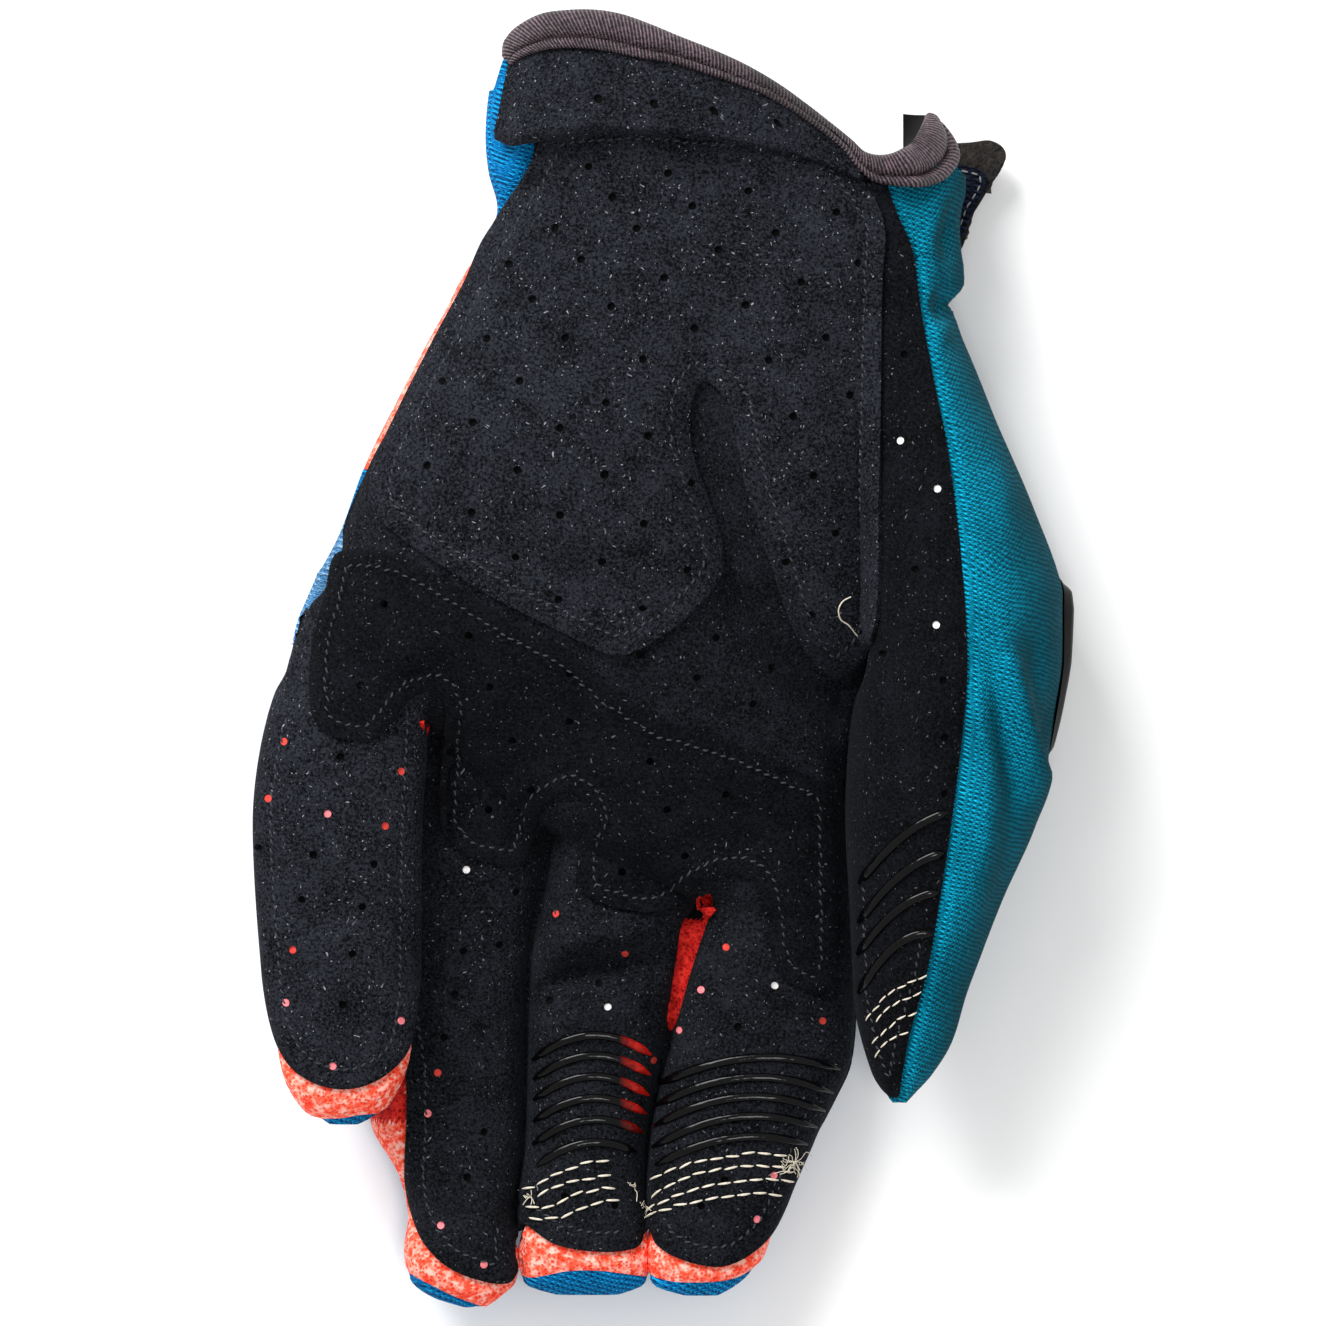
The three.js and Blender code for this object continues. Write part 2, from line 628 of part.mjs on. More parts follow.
function stripeOutline([x0, y0, x1, y1, x2, y2]) {
  const bend = (x) => y0 * (x - x1) * (x - x2) / ((x0 - x1) * (x0 - x2))
    + y1 * (x - x0) * (x - x2) / ((x1 - x0) * (x1 - x2))
    + y2 * (x - x0) * (x - x1) / ((x2 - x0) * (x2 - x1));
  const upper = [];
  const lower = [];
  for (let k = 0; k <= GRIP_STEPS; k += 1) {
    const x = x0 + (x2 - x0) * k / GRIP_STEPS;
    const slope = (bend(x + 0.01) - bend(x - 0.01)) / 0.02;
    const scale = GRIP_WIDTH / 2 / Math.hypot(1, slope);
    upper.push([x - slope * scale, bend(x) + scale]);
    lower.push([x + slope * scale, bend(x) - scale]);
  }
  return [...upper, ...lower.reverse()];
}

for (const [name, stripes] of Object.entries(GRIP_STRIPES)) {
  const layer = form(name, GRIP_TOP).subtract(form(name, GAP)).intersect(above(name, 0.7, 0));
  stripes.forEach((stripe, k) => {
    const piece = layer.intersect(prism(stripeOutline(stripe), -5, 60));
    place(`${name}_grip_${k + 1}`, piece, 'silicone');
  });
}

// The binding: a channel of elastic folded over the cuff's rim

const fold = form('hand', GAP + BINDING_WALL).subtract(form('hand', -WALL - GAP - BINDING_WALL));
const slotEnd = pastRim(GAP - BINDING_LIP);
const slot = form('hand', GAP).subtract(form('hand', -WALL - GAP)).subtract(slotEnd);
const band = pastRim(-BINDING_WIDTH).subtract(pastRim(0));
place('cuff_binding', fold.intersect(band).subtract(slot), 'binding');

// The strap of the wrist's closure, under the back of the wrist

const strapRings = STRAP.map(([x, low, high, z]) => [
  [x, low, z],
  [x, high, z],
  [x, high, z + STRAP_THICK],
  [x, low, z + STRAP_THICK],
]);
place('closure_strap', loft(strapRings), 'hook_loop');

// The rubber badge on the knuckle side of the thumb's base

const { low, high } = RUBBER_BADGE;
const badgeBox = [[low[0], low[1]], [high[0], low[1]], [high[0], high[1]], [low[0], high[1]]];
const badgeLayer = form('thumb', BADGE_TOP).subtract(form('thumb', GAP));
place('rubber_badge', badgeLayer.intersect(prism(badgeBox, low[2], high[2])), 'rubber');

export default group;
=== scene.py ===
import math

import bpy
import numpy as np
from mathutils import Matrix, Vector
from mathutils.geometry import delaunay_2d_cdt
from mathutils.kdtree import KDTree


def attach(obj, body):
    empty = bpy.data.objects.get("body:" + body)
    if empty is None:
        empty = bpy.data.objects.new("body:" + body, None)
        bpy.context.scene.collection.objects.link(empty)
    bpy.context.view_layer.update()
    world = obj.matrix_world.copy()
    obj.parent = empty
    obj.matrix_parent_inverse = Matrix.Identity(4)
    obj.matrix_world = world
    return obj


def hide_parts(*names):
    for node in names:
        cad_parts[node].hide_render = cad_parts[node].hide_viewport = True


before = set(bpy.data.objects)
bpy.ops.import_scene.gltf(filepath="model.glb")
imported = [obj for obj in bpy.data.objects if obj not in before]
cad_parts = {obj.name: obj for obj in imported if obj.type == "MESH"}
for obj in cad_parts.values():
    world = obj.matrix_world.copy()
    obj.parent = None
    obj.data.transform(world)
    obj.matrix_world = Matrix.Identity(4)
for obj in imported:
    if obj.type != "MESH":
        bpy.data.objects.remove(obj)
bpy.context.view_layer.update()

# ---------------------------------------------------------------------------------------------
# The palm and the fingers' fronts: one layer of microfibre suede 0.9 mm thick, cut flat with raw
# edges, punched with small holes, and sewn over the hand's and the fingers' rounded forms. Its
# edges hang over the fingers' sides. All tables are in millimetres; meshes are made in metres.

# Each form's cross-sections: y, left x, right x, floor z, top z
SECTIONS = {
    "hand": [
        [118, -28, 50, 3.8, 29], [106, -28.5, 50.5, 3.8, 30], [97, -30, 50.5, 3.8, 30.5],
        [90, -30.5, 51, 3.8, 29.5], [84, -30, 52, 3.8, 28.5], [77, -28.5, 52, 3.8, 29],
        [70, -32, 51.6, 3.6, 30.2], [65, -35, 51.8, 2, 31.1], [60, -37.5, 49, 0.6, 32],
        [56, -39.8, 48.6, 0, 32.5], [46, -45, 48, 0, 34], [34, -51, 45, 0, 34.5],
        [22, -55.5, 41, 0, 33.5], [12, -60.5, 40, 0, 32], [2, -63, 38, 0, 30],
        [-3, -56, 36.5, 0.2, 28.5], [-8, -46, 34, 0.5, 27], [-12, -38, 32.4, 0.8, 26],
        [-20, -30, 30.6, 1.5, 24.5], [-28, -20, 30.3, 2.3, 22.5], [-35, -6, 30, 3, 21],
        [-40, 6, 29.6, 3.6, 19.5], [-43, 15, 28, 5, 18],
    ],
    "little": [
        [14, -58, -38, 6, 22], [-4, -66.2, -39.4, 6.5, 26.6], [-16, -69.3, -40.2, 10.3, 28],
        [-29, -70.3, -40.9, 13, 29.3], [-56, -68.5, -41.2, 14, 29.5],
        [-66, -66.8, -42, 14.6, 29.5], [-72.5, -64.2, -44.8, 16, 28.4],
        [-77, -61, -48, 17.8, 26.3], [-79, -57, -52, 20.5, 23.5],
    ],
    "ring": [
        [2, -42, -18, 1, 19], [-18, -44, -18.5, 0, 15.5], [-30, -45.5, -20, 0, 15],
        [-50, -46.5, -23.3, 0, 15.2], [-66, -47.9, -24, 0.7, 15.5], [-75, -50.5, -24.2, 1, 15.9],
        [-80, -50.2, -24.4, 1.4, 16.4], [-88, -45.6, -25, 2, 17.3], [-95, -43.9, -26, 2.9, 17.6],
        [-101, -44.6, -24.6, 3.8, 18], [-106.5, -43.2, -25.2, 6, 17.2],
        [-109.3, -39.2, -28.2, 8.5, 15.5], [-110.8, -34.2, -30.2, 11, 13.5],
    ],
    "middle": [
        [-8, -17, 8, 1, 20], [-30, -19, 7.6, 0, 17], [-41, -20.6, 6, 0, 16.5],
        [-50, -22.4, 3.2, 0, 16.5], [-66, -23.2, 0, 0.5, 17], [-83, -23.6, -3.2, 1.5, 17.6],
        [-92, -25, -3, 2.6, 17.8], [-98, -25, -2.5, 3.5, 18], [-104, -25, -2.1, 5.5, 17.4],
        [-107.2, -23.2, -3.6, 8, 16.2], [-108.6, -18.5, -7.5, 10.4, 14.6],
    ],
    "index": [
        [-20, 8.8, 30.8, 2, 21], [-41, 7.1, 32.2, 1, 19], [-54, 3.8, 33, 1, 18.5],
        [-68, 0.8, 32.4, 1.5, 18.8], [-74, -0.8, 30, 2, 19.1], [-80, -2, 27, 2.6, 19.3],
        [-91, -2.9, 22.4, 3.8, 19.5], [-100, -2.9, 18.6, 5, 18.9], [-104.7, -2.7, 15.4, 7, 17.8],
        [-107.4, -1, 12, 9.5, 16.3], [-108.7, 3.5, 9.5, 12, 14.6],
    ],
    "thumb": [
        [88, 36, 48, 8, 22], [64, 34, 48.6, 4, 27.5], [59, 33.4, 49.4, 3, 29],
        [52, 32.8, 52.8, 2, 30.8], [40, 32.5, 57.6, 1.2, 34.4], [26, 33, 63.6, 1, 37.2],
        [12, 34, 68.4, 1.2, 38.7], [0, 34, 68.3, 2, 39], [-12, 32.2, 66.6, 3.5, 38.7],
        [-26, 31.4, 64.4, 5.6, 37.3], [-42, 32.1, 57.7, 8.5, 34.5], [-56, 32.7, 52.2, 11.5, 31.8],
        [-65, 33.8, 49.4, 13.8, 29.8], [-70.5, 35.8, 46, 16.2, 28], [-73.8, 37.9, 43, 18.8, 25.3],
        [-75.3, 39.2, 41.6, 20.8, 23.4],
    ],
}
# How square a section's palm side and back are, the share of its height where it is widest, and
# the share of its width that lies flat on the table
ROUNDING = {
    "hand": (2.5, 2.4, 0.45, 0.6),
    "little": (2.4, 2.3, 0.48, 0.2),
    "ring": (2.4, 2.3, 0.46, 0.3),
    "middle": (2.4, 2.3, 0.46, 0.3),
    "index": (2.4, 2.3, 0.46, 0.3),
    "thumb": (2.3, 2.3, 0.48, 0.1),
}
SUEDE_THICKNESS = 0.9
SUEDE_OVERHANG = 0.997
# How far out the hand's long sides are covered, and how steeply a height falls past its form
HAND_REACH = 0.985
PAST_SIDE = 12
PAST_ROOT = 3
# How widely a form's corner with the next is filled: along the thumb by y, and at the fingers
THUMB_BLEND = ([-60, -20, 8, 40], [1.0, 3.0, 3.0, 8.0])
FINGER_BLEND = 3.0
# The least height of the palm's suede, by y
PALM_FLOOR = ([-12, -6, 4, 70, 84], [8.0, 13.0, 17.0, 17.0, 15.0])
# The suede's free edge round each fingertip, from its left side to its right
FINGERTIP_EDGES = {
    "ring": [
        [-45.2, -64], [-44.1, -72], [-44.1, -80], [-44.5, -86.5], [-44.4, -90.5], [-43.3, -95],
        [-40.9, -99.8], [-36.4, -103.9], [-30.4, -106.2], [-26.2, -106.5], [-24.8, -104.6],
    ],
    "middle": [[-24.4, -96.2], [-18.5, -99.7], [-10.8, -101], [-4.8, -100.5], [-3.4, -99.3]],
    "index": [
        [-2.5, -97.2], [-1.4, -99.7], [2.9, -102.2], [8.9, -103.6], [13.2, -102.6], [18.2, -99],
        [21.2, -94.2], [22.8, -90.2],
    ],
}
# The life line, the valley beside the ball of the thumb: x, y, depth
LIFE_LINE = [
    [6.3, 49, 0.6], [5.1, 41.4, 3.2], [6, 34, 4.4], [8.4, 27.7, 5], [11.1, 20, 5.4],
    [14.9, 12.3, 6], [20.9, 3.8, 7], [26.8, -2.6, 8.5], [31, -5.6, 9],
]
# Soft folds of the palm: depth (a rise where it is negative), width, then the line's points
PALM_FOLDS = [
    (1.2, 3.2, [[-34, 20], [-20, 17], [-4, 9], [8, 2]]),
    (-0.8, 4.0, [[-22, 46], [-14, 40], [-9, 30], [-11, 20]]),
    (0.8, 2.8, [[-26, 60], [-16, 52], [-10, 48]]),
    (0.9, 2.6, [[24, -36], [16, -31], [8, -30], [0, -33]]),
    (-0.9, 3.0, [[12, -47], [18, -54], [28, -61]]),
    (1.4, 2.0, [[12, -56], [20, -59.5], [30, -66]]),
    (4.4, 2.1, [[-20.5, -57], [-16.7, -54], [-8.4, -52], [-1, -51.5]]),
    (-2.4, 2.6, [[-22, -51], [-16.7, -47.8], [-6, -46], [1, -44]]),
    (-1.8, 2.8, [[-20, -62.5], [-12, -59.5], [-4, -58.5]]),
    (-1.2, 2.6, [[-39, -50], [-31, -56], [-27, -64], [-27, -76]]),
    (1.4, 3.0, [[-43, -40], [-41, -50], [-40, -62]]),
    (-1.0, 3.0, [[-56, -24], [-52, -36], [-54, -48]]),
    (0.8, 2.4, [[-66, -40], [-60, -44], [-54, -43], [-46, -46]]),
    (1.2, 2.6, [[-42, -48], [-36, -52], [-30, -51], [-26, -47]]),
    (-0.8, 3.0, [[-44, -60], [-36, -62], [-28, -58]]),
    (0.8, 2.8, [[-44, -78], [-37, -74], [-28, -75]]),
    (-0.8, 3.0, [[20, 60], [24, 48], [27, 36], [28, 22]]),
    (0.8, 3.0, [[-46, 34], [-42, 28], [-38, 24]]), (-0.8, 3.5, [[-50, -2], [-42, 4], [-34, 4]]),
    (1.0, 2.4, [[-38, -14], [-33, -18], [-27, -19], [-22, -16]]),
    (0.9, 2.4, [[12, -22], [18, -28], [26, -30]]),
    (1.3, 2.2, [[-17.6, -33], [-14.8, -29.6], [-12.6, -27.6]]),
]
# The centres of the holes that show in the bare suede, by what shows through them
PALM_HOLES = {
    "dark": [
        [-47.2, 9.9], [-33, 4.6], [-42.9, 1], [-51.5, -4.1], [-29.4, -3.9], [9.1, 4.1],
        [-3.9, 1.2], [18.6, -0.9], [5.8, -2.7], [-15.9, -1.7], [15.4, -7.2], [-6.8, -6.7],
        [-25.5, -13], [-15.9, -9.9], [-2.2, -16.8], [10.6, -22.4], [0.7, -25], [-22.2, -21.5],
        [-29.9, -25.3], [-25.1, -39.5], [-34.2, -49.6], [-28, -48.5], [-35.7, -56.9],
        [-37.6, -64.3], [-30.6, -80.5], [-33.5, -88.2], [12.8, -62.4], [12.1, -78.3], [-7, -35.9],
        [3.8, -33], [28, -47.2], [-19.5, -58], [-11, -55], [-16.8, -91.5], [-8.2, -93], [6.5, -93],
        [10.5, -88.6], [20, -50],
    ],
    "red": [
        [-18.5, -43.1], [-6.5, -50.2], [-38.6, -70.4], [-1.4, -68.4], [27.4, -61.5], [10.7, -48.8],
    ],
    "pink": [
        [-40.3, -77.3], [-38.1, -96.4], [-30.6, -103.2], [6.3, -56.1], [2.6, -63.1], [16.2, -95.4],
        [19.1, -87.9],
    ],
    "pale": [[-33.7, -35.6], [-9.4, -59], [19.1, -55.4]],
}
HOLE_RADIUS = 0.7
HOLE_SIDES = 12
MESH_STEP = 0.85
OUTLINE_STEP = 0.6
# How far from an outline, and to each side of a crease, rows of the mesh run
EDGE_ROWS = (0.16, 0.42, 0.8, 1.35)
CREASE_ROWS = (-1.1, -0.6, -0.25, 0.25, 0.6, 1.1)

MM = 0.001


def row_at(rows, y):
    """A section's left, right, floor and top at any y, drawn smoothly through its table."""
    table = np.array(rows, float)[::-1]
    ys = table[:, 0]
    k = np.clip(np.searchsorted(ys, y) - 1, 0, len(ys) - 2)
    low, high = table[k], table[k + 1]
    before, after = table[np.maximum(k - 1, 0)], table[np.minimum(k + 2, len(ys) - 1)]
    span = high[..., :1] - low[..., :1]
    step = high - low
    leave = (high - before) / (high[..., :1] - before[..., :1]) * span
    arrive = (after - low) / (after[..., :1] - low[..., :1]) * span
    leave = np.where(abs(leave) > 3 * abs(step), 3 * step, leave)
    arrive = np.where(abs(arrive) > 3 * abs(step), 3 * step, arrive)
    t = np.clip((np.asarray(y)[..., None] - low[..., :1]) / span, 0, 1)
    value = (2 * t**3 - 3 * t**2 + 1) * low + (t**3 - 2 * t**2 + t) * leave
    value += (3 * t**2 - 2 * t**3) * high + (t**3 - t**2) * arrive
    return value[..., 1:]


def section(name, y):
    """The middle, half width, waist height, rise and fall of a form at y."""
    left, right, floor, top = np.moveaxis(row_at(SECTIONS[name], y), -1, 0)
    waist = floor + (top - floor) * ROUNDING[name][2]
    return (left + right) / 2, (right - left) / 2, waist, top - waist, waist - floor


def crown(name, x, y):
    """The height of a form's palm side, falling away steeply past its sides and its ends."""
    middle, half, waist, rise, _ = section(name, y)
    u = abs(x - middle) / half
    n = ROUNDING[name][0]
    # cloth sewn over the hand's long sides stops short of hanging straight down
    reach = np.minimum(u, HAND_REACH if name == "hand" else 1)
    z = waist + rise * (1 - reach**n) ** (1 / n) - PAST_SIDE * np.maximum(u - 1, 0) * half
    root, tip = SECTIONS[name][0][0], SECTIONS[name][-1][0]
    return z - PAST_ROOT * np.maximum(y - root, 0) - PAST_SIDE * np.maximum(tip - y, 0)


def along_line(line, x, y):
    """How far points are from a line of points, and where along it, counted in its points."""
    best = np.full(np.shape(x), 1e9)
    where = np.zeros(np.shape(x))
    for k in range(len(line) - 1):
        (x0, y0), (x1, y1) = line[k][:2], line[k + 1][:2]
        dx, dy = x1 - x0, y1 - y0
        t = np.clip(((x - x0) * dx + (y - y0) * dy) / (dx * dx + dy * dy), 0, 1)
        away = np.hypot(x - x0 - t * dx, y - y0 - t * dy)
        nearer = away < best
        best = np.where(nearer, away, best)
        where = np.where(nearer, k + t, where)
    return best, where


def folds(table, x, y, least=0.35):
    """How deep the folds of a table are at each point."""
    total = np.zeros(np.shape(x))
    for height, wide, line in table:
        away, where = along_line(line, x, y)
        ends = np.minimum(where, len(line) - 1 - where)
        strength = least + (1 - least) * np.clip(ends, 0, 1)
        total += height * np.exp(-((away / wide) ** 2)) * strength
    return total


def sunk(x, y):
    """How far the palm lies below its plain rounded form, in the life line and in its folds."""
    away, where = along_line(LIFE_LINE, x, y)
    depth = np.interp(where, range(len(LIFE_LINE)), [p[2] for p in LIFE_LINE])
    width = np.interp(where, range(len(LIFE_LINE)), np.linspace(4.2, 6.2, len(LIFE_LINE)))
    return depth * np.exp(-((away / width) ** 2)) + folds(PALM_FOLDS, x, y)


def softer_of(a, b, blend):
    """The higher of two heights, with the corner between them filled."""
    near = np.maximum(blend - abs(a - b), 0) / blend
    return np.maximum(a, b) + near * near * blend / 4


def palm_height(x, y, forms=("hand", "ring", "middle", "index", "thumb")):
    """The height of the glove's palm side over a point, in mm."""
    z = crown("hand", x, y) - sunk(x, y) - 5 * np.maximum(-46 - y, 0)
    drawn_in = folds(PALM_FOLDS, x, y)
    for name in forms[1:]:
        blend = np.interp(y, *THUMB_BLEND) if name == "thumb" else FINGER_BLEND
        other = crown(name, x, y)
        other = other - (5 * np.maximum(4 - y, 0) if name == "thumb" else drawn_in)
        z = softer_of(z, other, blend)
    return np.maximum(z, np.interp(y, *PALM_FLOOR))


def unit(way):
    """Directions made one long."""
    return way / np.maximum(np.linalg.norm(way, axis=-1, keepdims=True), 1e-9)


def left_of(way):
    """Flat directions turned a quarter to their left."""
    return np.column_stack([-way[:, 1], way[:, 0]])


def inward(outline):
    """The direction into a closed outline at each of its points."""
    x, y = outline.T
    turn = np.sign(np.sum(x * np.roll(y, -1) - np.roll(x, -1) * y))
    return unit(left_of(np.roll(outline, -1, axis=0) - np.roll(outline, 1, axis=0)) * turn)


def length_along(line):
    """How long a line is up to each of its points."""
    return np.r_[0, np.cumsum(np.linalg.norm(np.diff(line, axis=0), axis=1))]


def smooth_line(points, step, closed=False):
    """A line through the points, rounded between them and drawn anew at even steps."""
    p = np.array(points, float)
    if closed:
        p = np.vstack([p[-1:], p, p[:2]])
    else:
        p = np.vstack([2 * p[0] - p[1], p, 2 * p[-1] - p[-2]])
    out = []
    for a, b, c, d in zip(p[:-3], p[1:-2], p[2:-1], p[3:]):
        scale = np.linalg.norm(c - b)
        m = (c - a) / max(np.linalg.norm(c - b) + np.linalg.norm(b - a), 1e-9) * scale
        n = (d - b) / max(np.linalg.norm(d - c) + np.linalg.norm(c - b), 1e-9) * scale
        count = max(2, int(scale / step * 2))
        for t in np.arange(count) / count:
            out.append((2 * t**3 - 3 * t**2 + 1) * b + (t**3 - 2 * t**2 + t) * m
                       + (3 * t**2 - 2 * t**3) * c + (t**3 - t**2) * n)
    out.append(p[-2])
    out = np.array(out)
    run = length_along(out)
    count = max(2, int(round(run[-1] / step)))
    marks = np.linspace(0, run[-1], count + 1)
    if closed:
        marks = marks[:-1]
    return np.column_stack([np.interp(marks, run, out[:, k]) for k in range(out.shape[1])])


def within(outline, x, y):
    """Whether points lie inside an outline."""
    inside = np.zeros(x.shape, bool)
    for (x0, y0), (x1, y1) in zip(outline, np.roll(outline, -1, axis=0)):
        cross = (y0 > y) != (y1 > y)
        inside ^= cross & (x < (x1 - x0) * (y - y0) / (y1 - y0 + 1e-12) + x0)
    return inside


def gap_to(outline, x, y):
    """How far points lie from a closely drawn outline."""
    best = np.full(x.shape, 1e9)
    for k in range(0, len(x), 4000):
        part = slice(k, k + 4000)
        apart_x, apart_y = x[part, None] - outline[:, 0], y[part, None] - outline[:, 1]
        best[part] = np.sqrt((apart_x**2 + apart_y**2).min(axis=1))
    return best


def cut_flat(outline, holes=(), step=MESH_STEP, slots=(), creases=()):
    """A flat piece cut to an outline and punched with holes: points, triangles, edge distances."""
    outline = smooth_line(outline, OUTLINE_STEP, closed=True)
    points, loops, free = [outline], [(0, len(outline), True)], []
    for depth in EDGE_ROWS:
        row = outline + inward(outline) * depth
        free.append(row[gap_to(outline, *row.T) > depth * 0.93])
    low, high = outline.min(axis=0), outline.max(axis=0)
    gx, gy = np.meshgrid(np.arange(low[0], high[0], step), np.arange(low[1], high[1], step * 0.87))
    gx = gx + (np.arange(len(gy)) % 2)[:, None] * step / 2
    grid = np.column_stack([gx.ravel(), gy.ravel()])
    grid = grid[within(outline, *grid.T)]
    free.append(grid[gap_to(outline, *grid.T) > 1.75])
    free = np.vstack(free)
    count = len(outline)
    slots = [smooth_line(slot, OUTLINE_STEP, closed=True) for slot in slots]
    creases = [smooth_line(crease, OUTLINE_STEP) for crease in creases]
    for line, closed in [(slot, True) for slot in slots] + [(crease, False) for crease in creases]:
        free = free[gap_to(line, *free.T) > (0.35 if closed else 1.5)]
        if not closed:
            aside = unit(left_of(np.gradient(line, axis=0)))[2:-2]
            rows = np.vstack([line[2:-2] + aside * far for far in CREASE_ROWS])
            free = np.vstack([free, rows[gap_to(outline, *rows.T) > 0.4]])
        points.append(line)
        loops.append((count, len(line), closed))
        count += len(line)
    turn = np.linspace(0, 2 * math.pi, HOLE_SIDES + 1)[:-1]
    circle = np.column_stack([np.cos(turn), np.sin(turn)])
    holes = np.array(holes, float).reshape(-1, 2)
    for hole in holes:
        points.append(hole + circle * HOLE_RADIUS)
        loops.append((count, HOLE_SIDES, True))
        count += HOLE_SIDES
        away = np.linalg.norm(free - hole, axis=1)
        free = np.vstack([free[away > HOLE_RADIUS + 0.62], hole + circle * (HOLE_RADIUS + 0.3)])
    points = np.vstack(points + [free])
    edges = [(start + k, start + (k + 1) % size) for start, size, closed in loops
             for k in range(size if closed else size - 1)]
    found = delaunay_2d_cdt([Vector(p) for p in points.tolist()], edges, [], 0, 1e-6)
    flat = np.array([tuple(v) for v in found[0]])
    faces = np.array([f for f in found[2] if len(f) == 3])
    centre = flat[faces].mean(axis=1)
    keep = within(outline, *centre.T)
    for slot in slots:
        keep &= ~within(slot, *centre.T)
    for hole in holes:
        keep &= np.linalg.norm(centre - hole, axis=1) > HOLE_RADIUS * 0.96
    faces = faces[keep]
    a, b, c = flat[faces.T]
    area = np.cross(b - a, c - a)
    faces[area < 0] = faces[area < 0][:, ::-1]
    used, faces = np.unique(faces, return_inverse=True)
    flat = flat[used]
    return flat, faces.reshape(-1, 3), gap_to(np.vstack([outline] + slots), *flat.T), outline


STEEPEST = 6


def facing(height, x, y):
    """The direction out of the surface over each point."""
    d = 0.12
    slope_x = (height(x + d, y) - height(x - d, y)) / (2 * d)
    slope_y = (height(x, y + d) - height(x, y - d)) / (2 * d)
    slopes = np.clip([slope_x, slope_y], -STEEPEST, STEEPEST)
    return unit(np.column_stack([-slopes[0], -slopes[1], np.ones(len(x))]))


def normals_of(points, faces):
    """Each point's direction, averaged from the faces round it."""
    total = np.zeros_like(points)
    a, b, c = points[faces.T]
    face = np.cross(b - a, c - a)
    for k in range(faces.shape[1]):
        np.add.at(total, faces[:, k], face)
    return unit(total)


def thicken(points, faces, thickness=SUEDE_THICKNESS):
    """A layer of cloth from its outer face: the inner face, and a raw edge round every rim."""
    inner = points - normals_of(points, faces) * thickness
    ring = np.vstack([faces[:, [k, (k + 1) % 3]] for k in range(3)])
    count = len(points)
    start, end = ring.astype(np.int64).T
    a, b = ring[~np.isin(start * count + end, end * count + start)].T
    walls = [np.column_stack([b, a, a + count]), np.column_stack([b, a + count, b + count])]
    return np.vstack([points, inner]), np.vstack([faces, faces[:, ::-1] + count, *walls])


SMOOTH_ANGLE = math.radians(50)


def sew_in(name, points, faces, material, replaces=(), slot=None):
    """Makes a piece of the glove from points in millimetres."""
    mesh = bpy.data.meshes.new(name)
    mesh.from_pydata((np.asarray(points) * MM).tolist(), [], np.asarray(faces).tolist())
    mesh.materials.append(material)
    mesh.validate()
    piece = bpy.data.objects.new(name, mesh)
    bpy.context.scene.collection.objects.link(piece)
    mesh.polygons.foreach_set("use_smooth", [True] * len(mesh.polygons))
    mesh.set_sharp_from_angle(angle=SMOOTH_ANGLE)
    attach(piece, "root")
    if replaces:
        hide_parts(*replaces)
    return piece


def linear(code):
    """An sRGB hex colour in Blender's linear numbers, with an alpha of 1."""
    parts = [int(code[k:k + 2], 16) / 255 for k in (1, 3, 5)]
    return (*(c / 12.92 if c <= 0.04045 else ((c + 0.055) / 1.055) ** 2.4 for c in parts), 1.0)


def add(tree, kind, sockets=(), stops=(), **settings):
    """Adds a node. A socket takes a value, an output, or a node for its first output. Stops are
    the places and colours of a ramp."""
    node = tree.nodes.new("ShaderNode" + kind)
    for key, value in settings.items():
        setattr(node, key, value)
    for key, value in dict(sockets).items():
        if isinstance(value, bpy.types.Node):
            value = value.outputs[0]
        if isinstance(value, bpy.types.NodeSocket):
            tree.links.new(value, node.inputs[key])
        else:
            node.inputs[key].default_value = value
    for k, (at, colour) in enumerate(stops):
        stop = node.color_ramp.elements[k] if k < 2 else node.color_ramp.elements.new(at)
        stop.position, stop.color = at, linear(colour)
    return node


def begin_material(name):
    """A new material, its empty tree and the object's own coordinates."""
    material = bpy.data.materials.new(name)
    material.use_nodes = True
    tree = material.node_tree
    tree.nodes.clear()
    return material, tree, add(tree, "TexCoord").outputs["Object"]


def finish_material(material, sockets):
    """Ends a material in its shader and its output."""
    tree = material.node_tree
    add(tree, "OutputMaterial", {"Surface": add(tree, "BsdfPrincipled", sockets)})
    return material


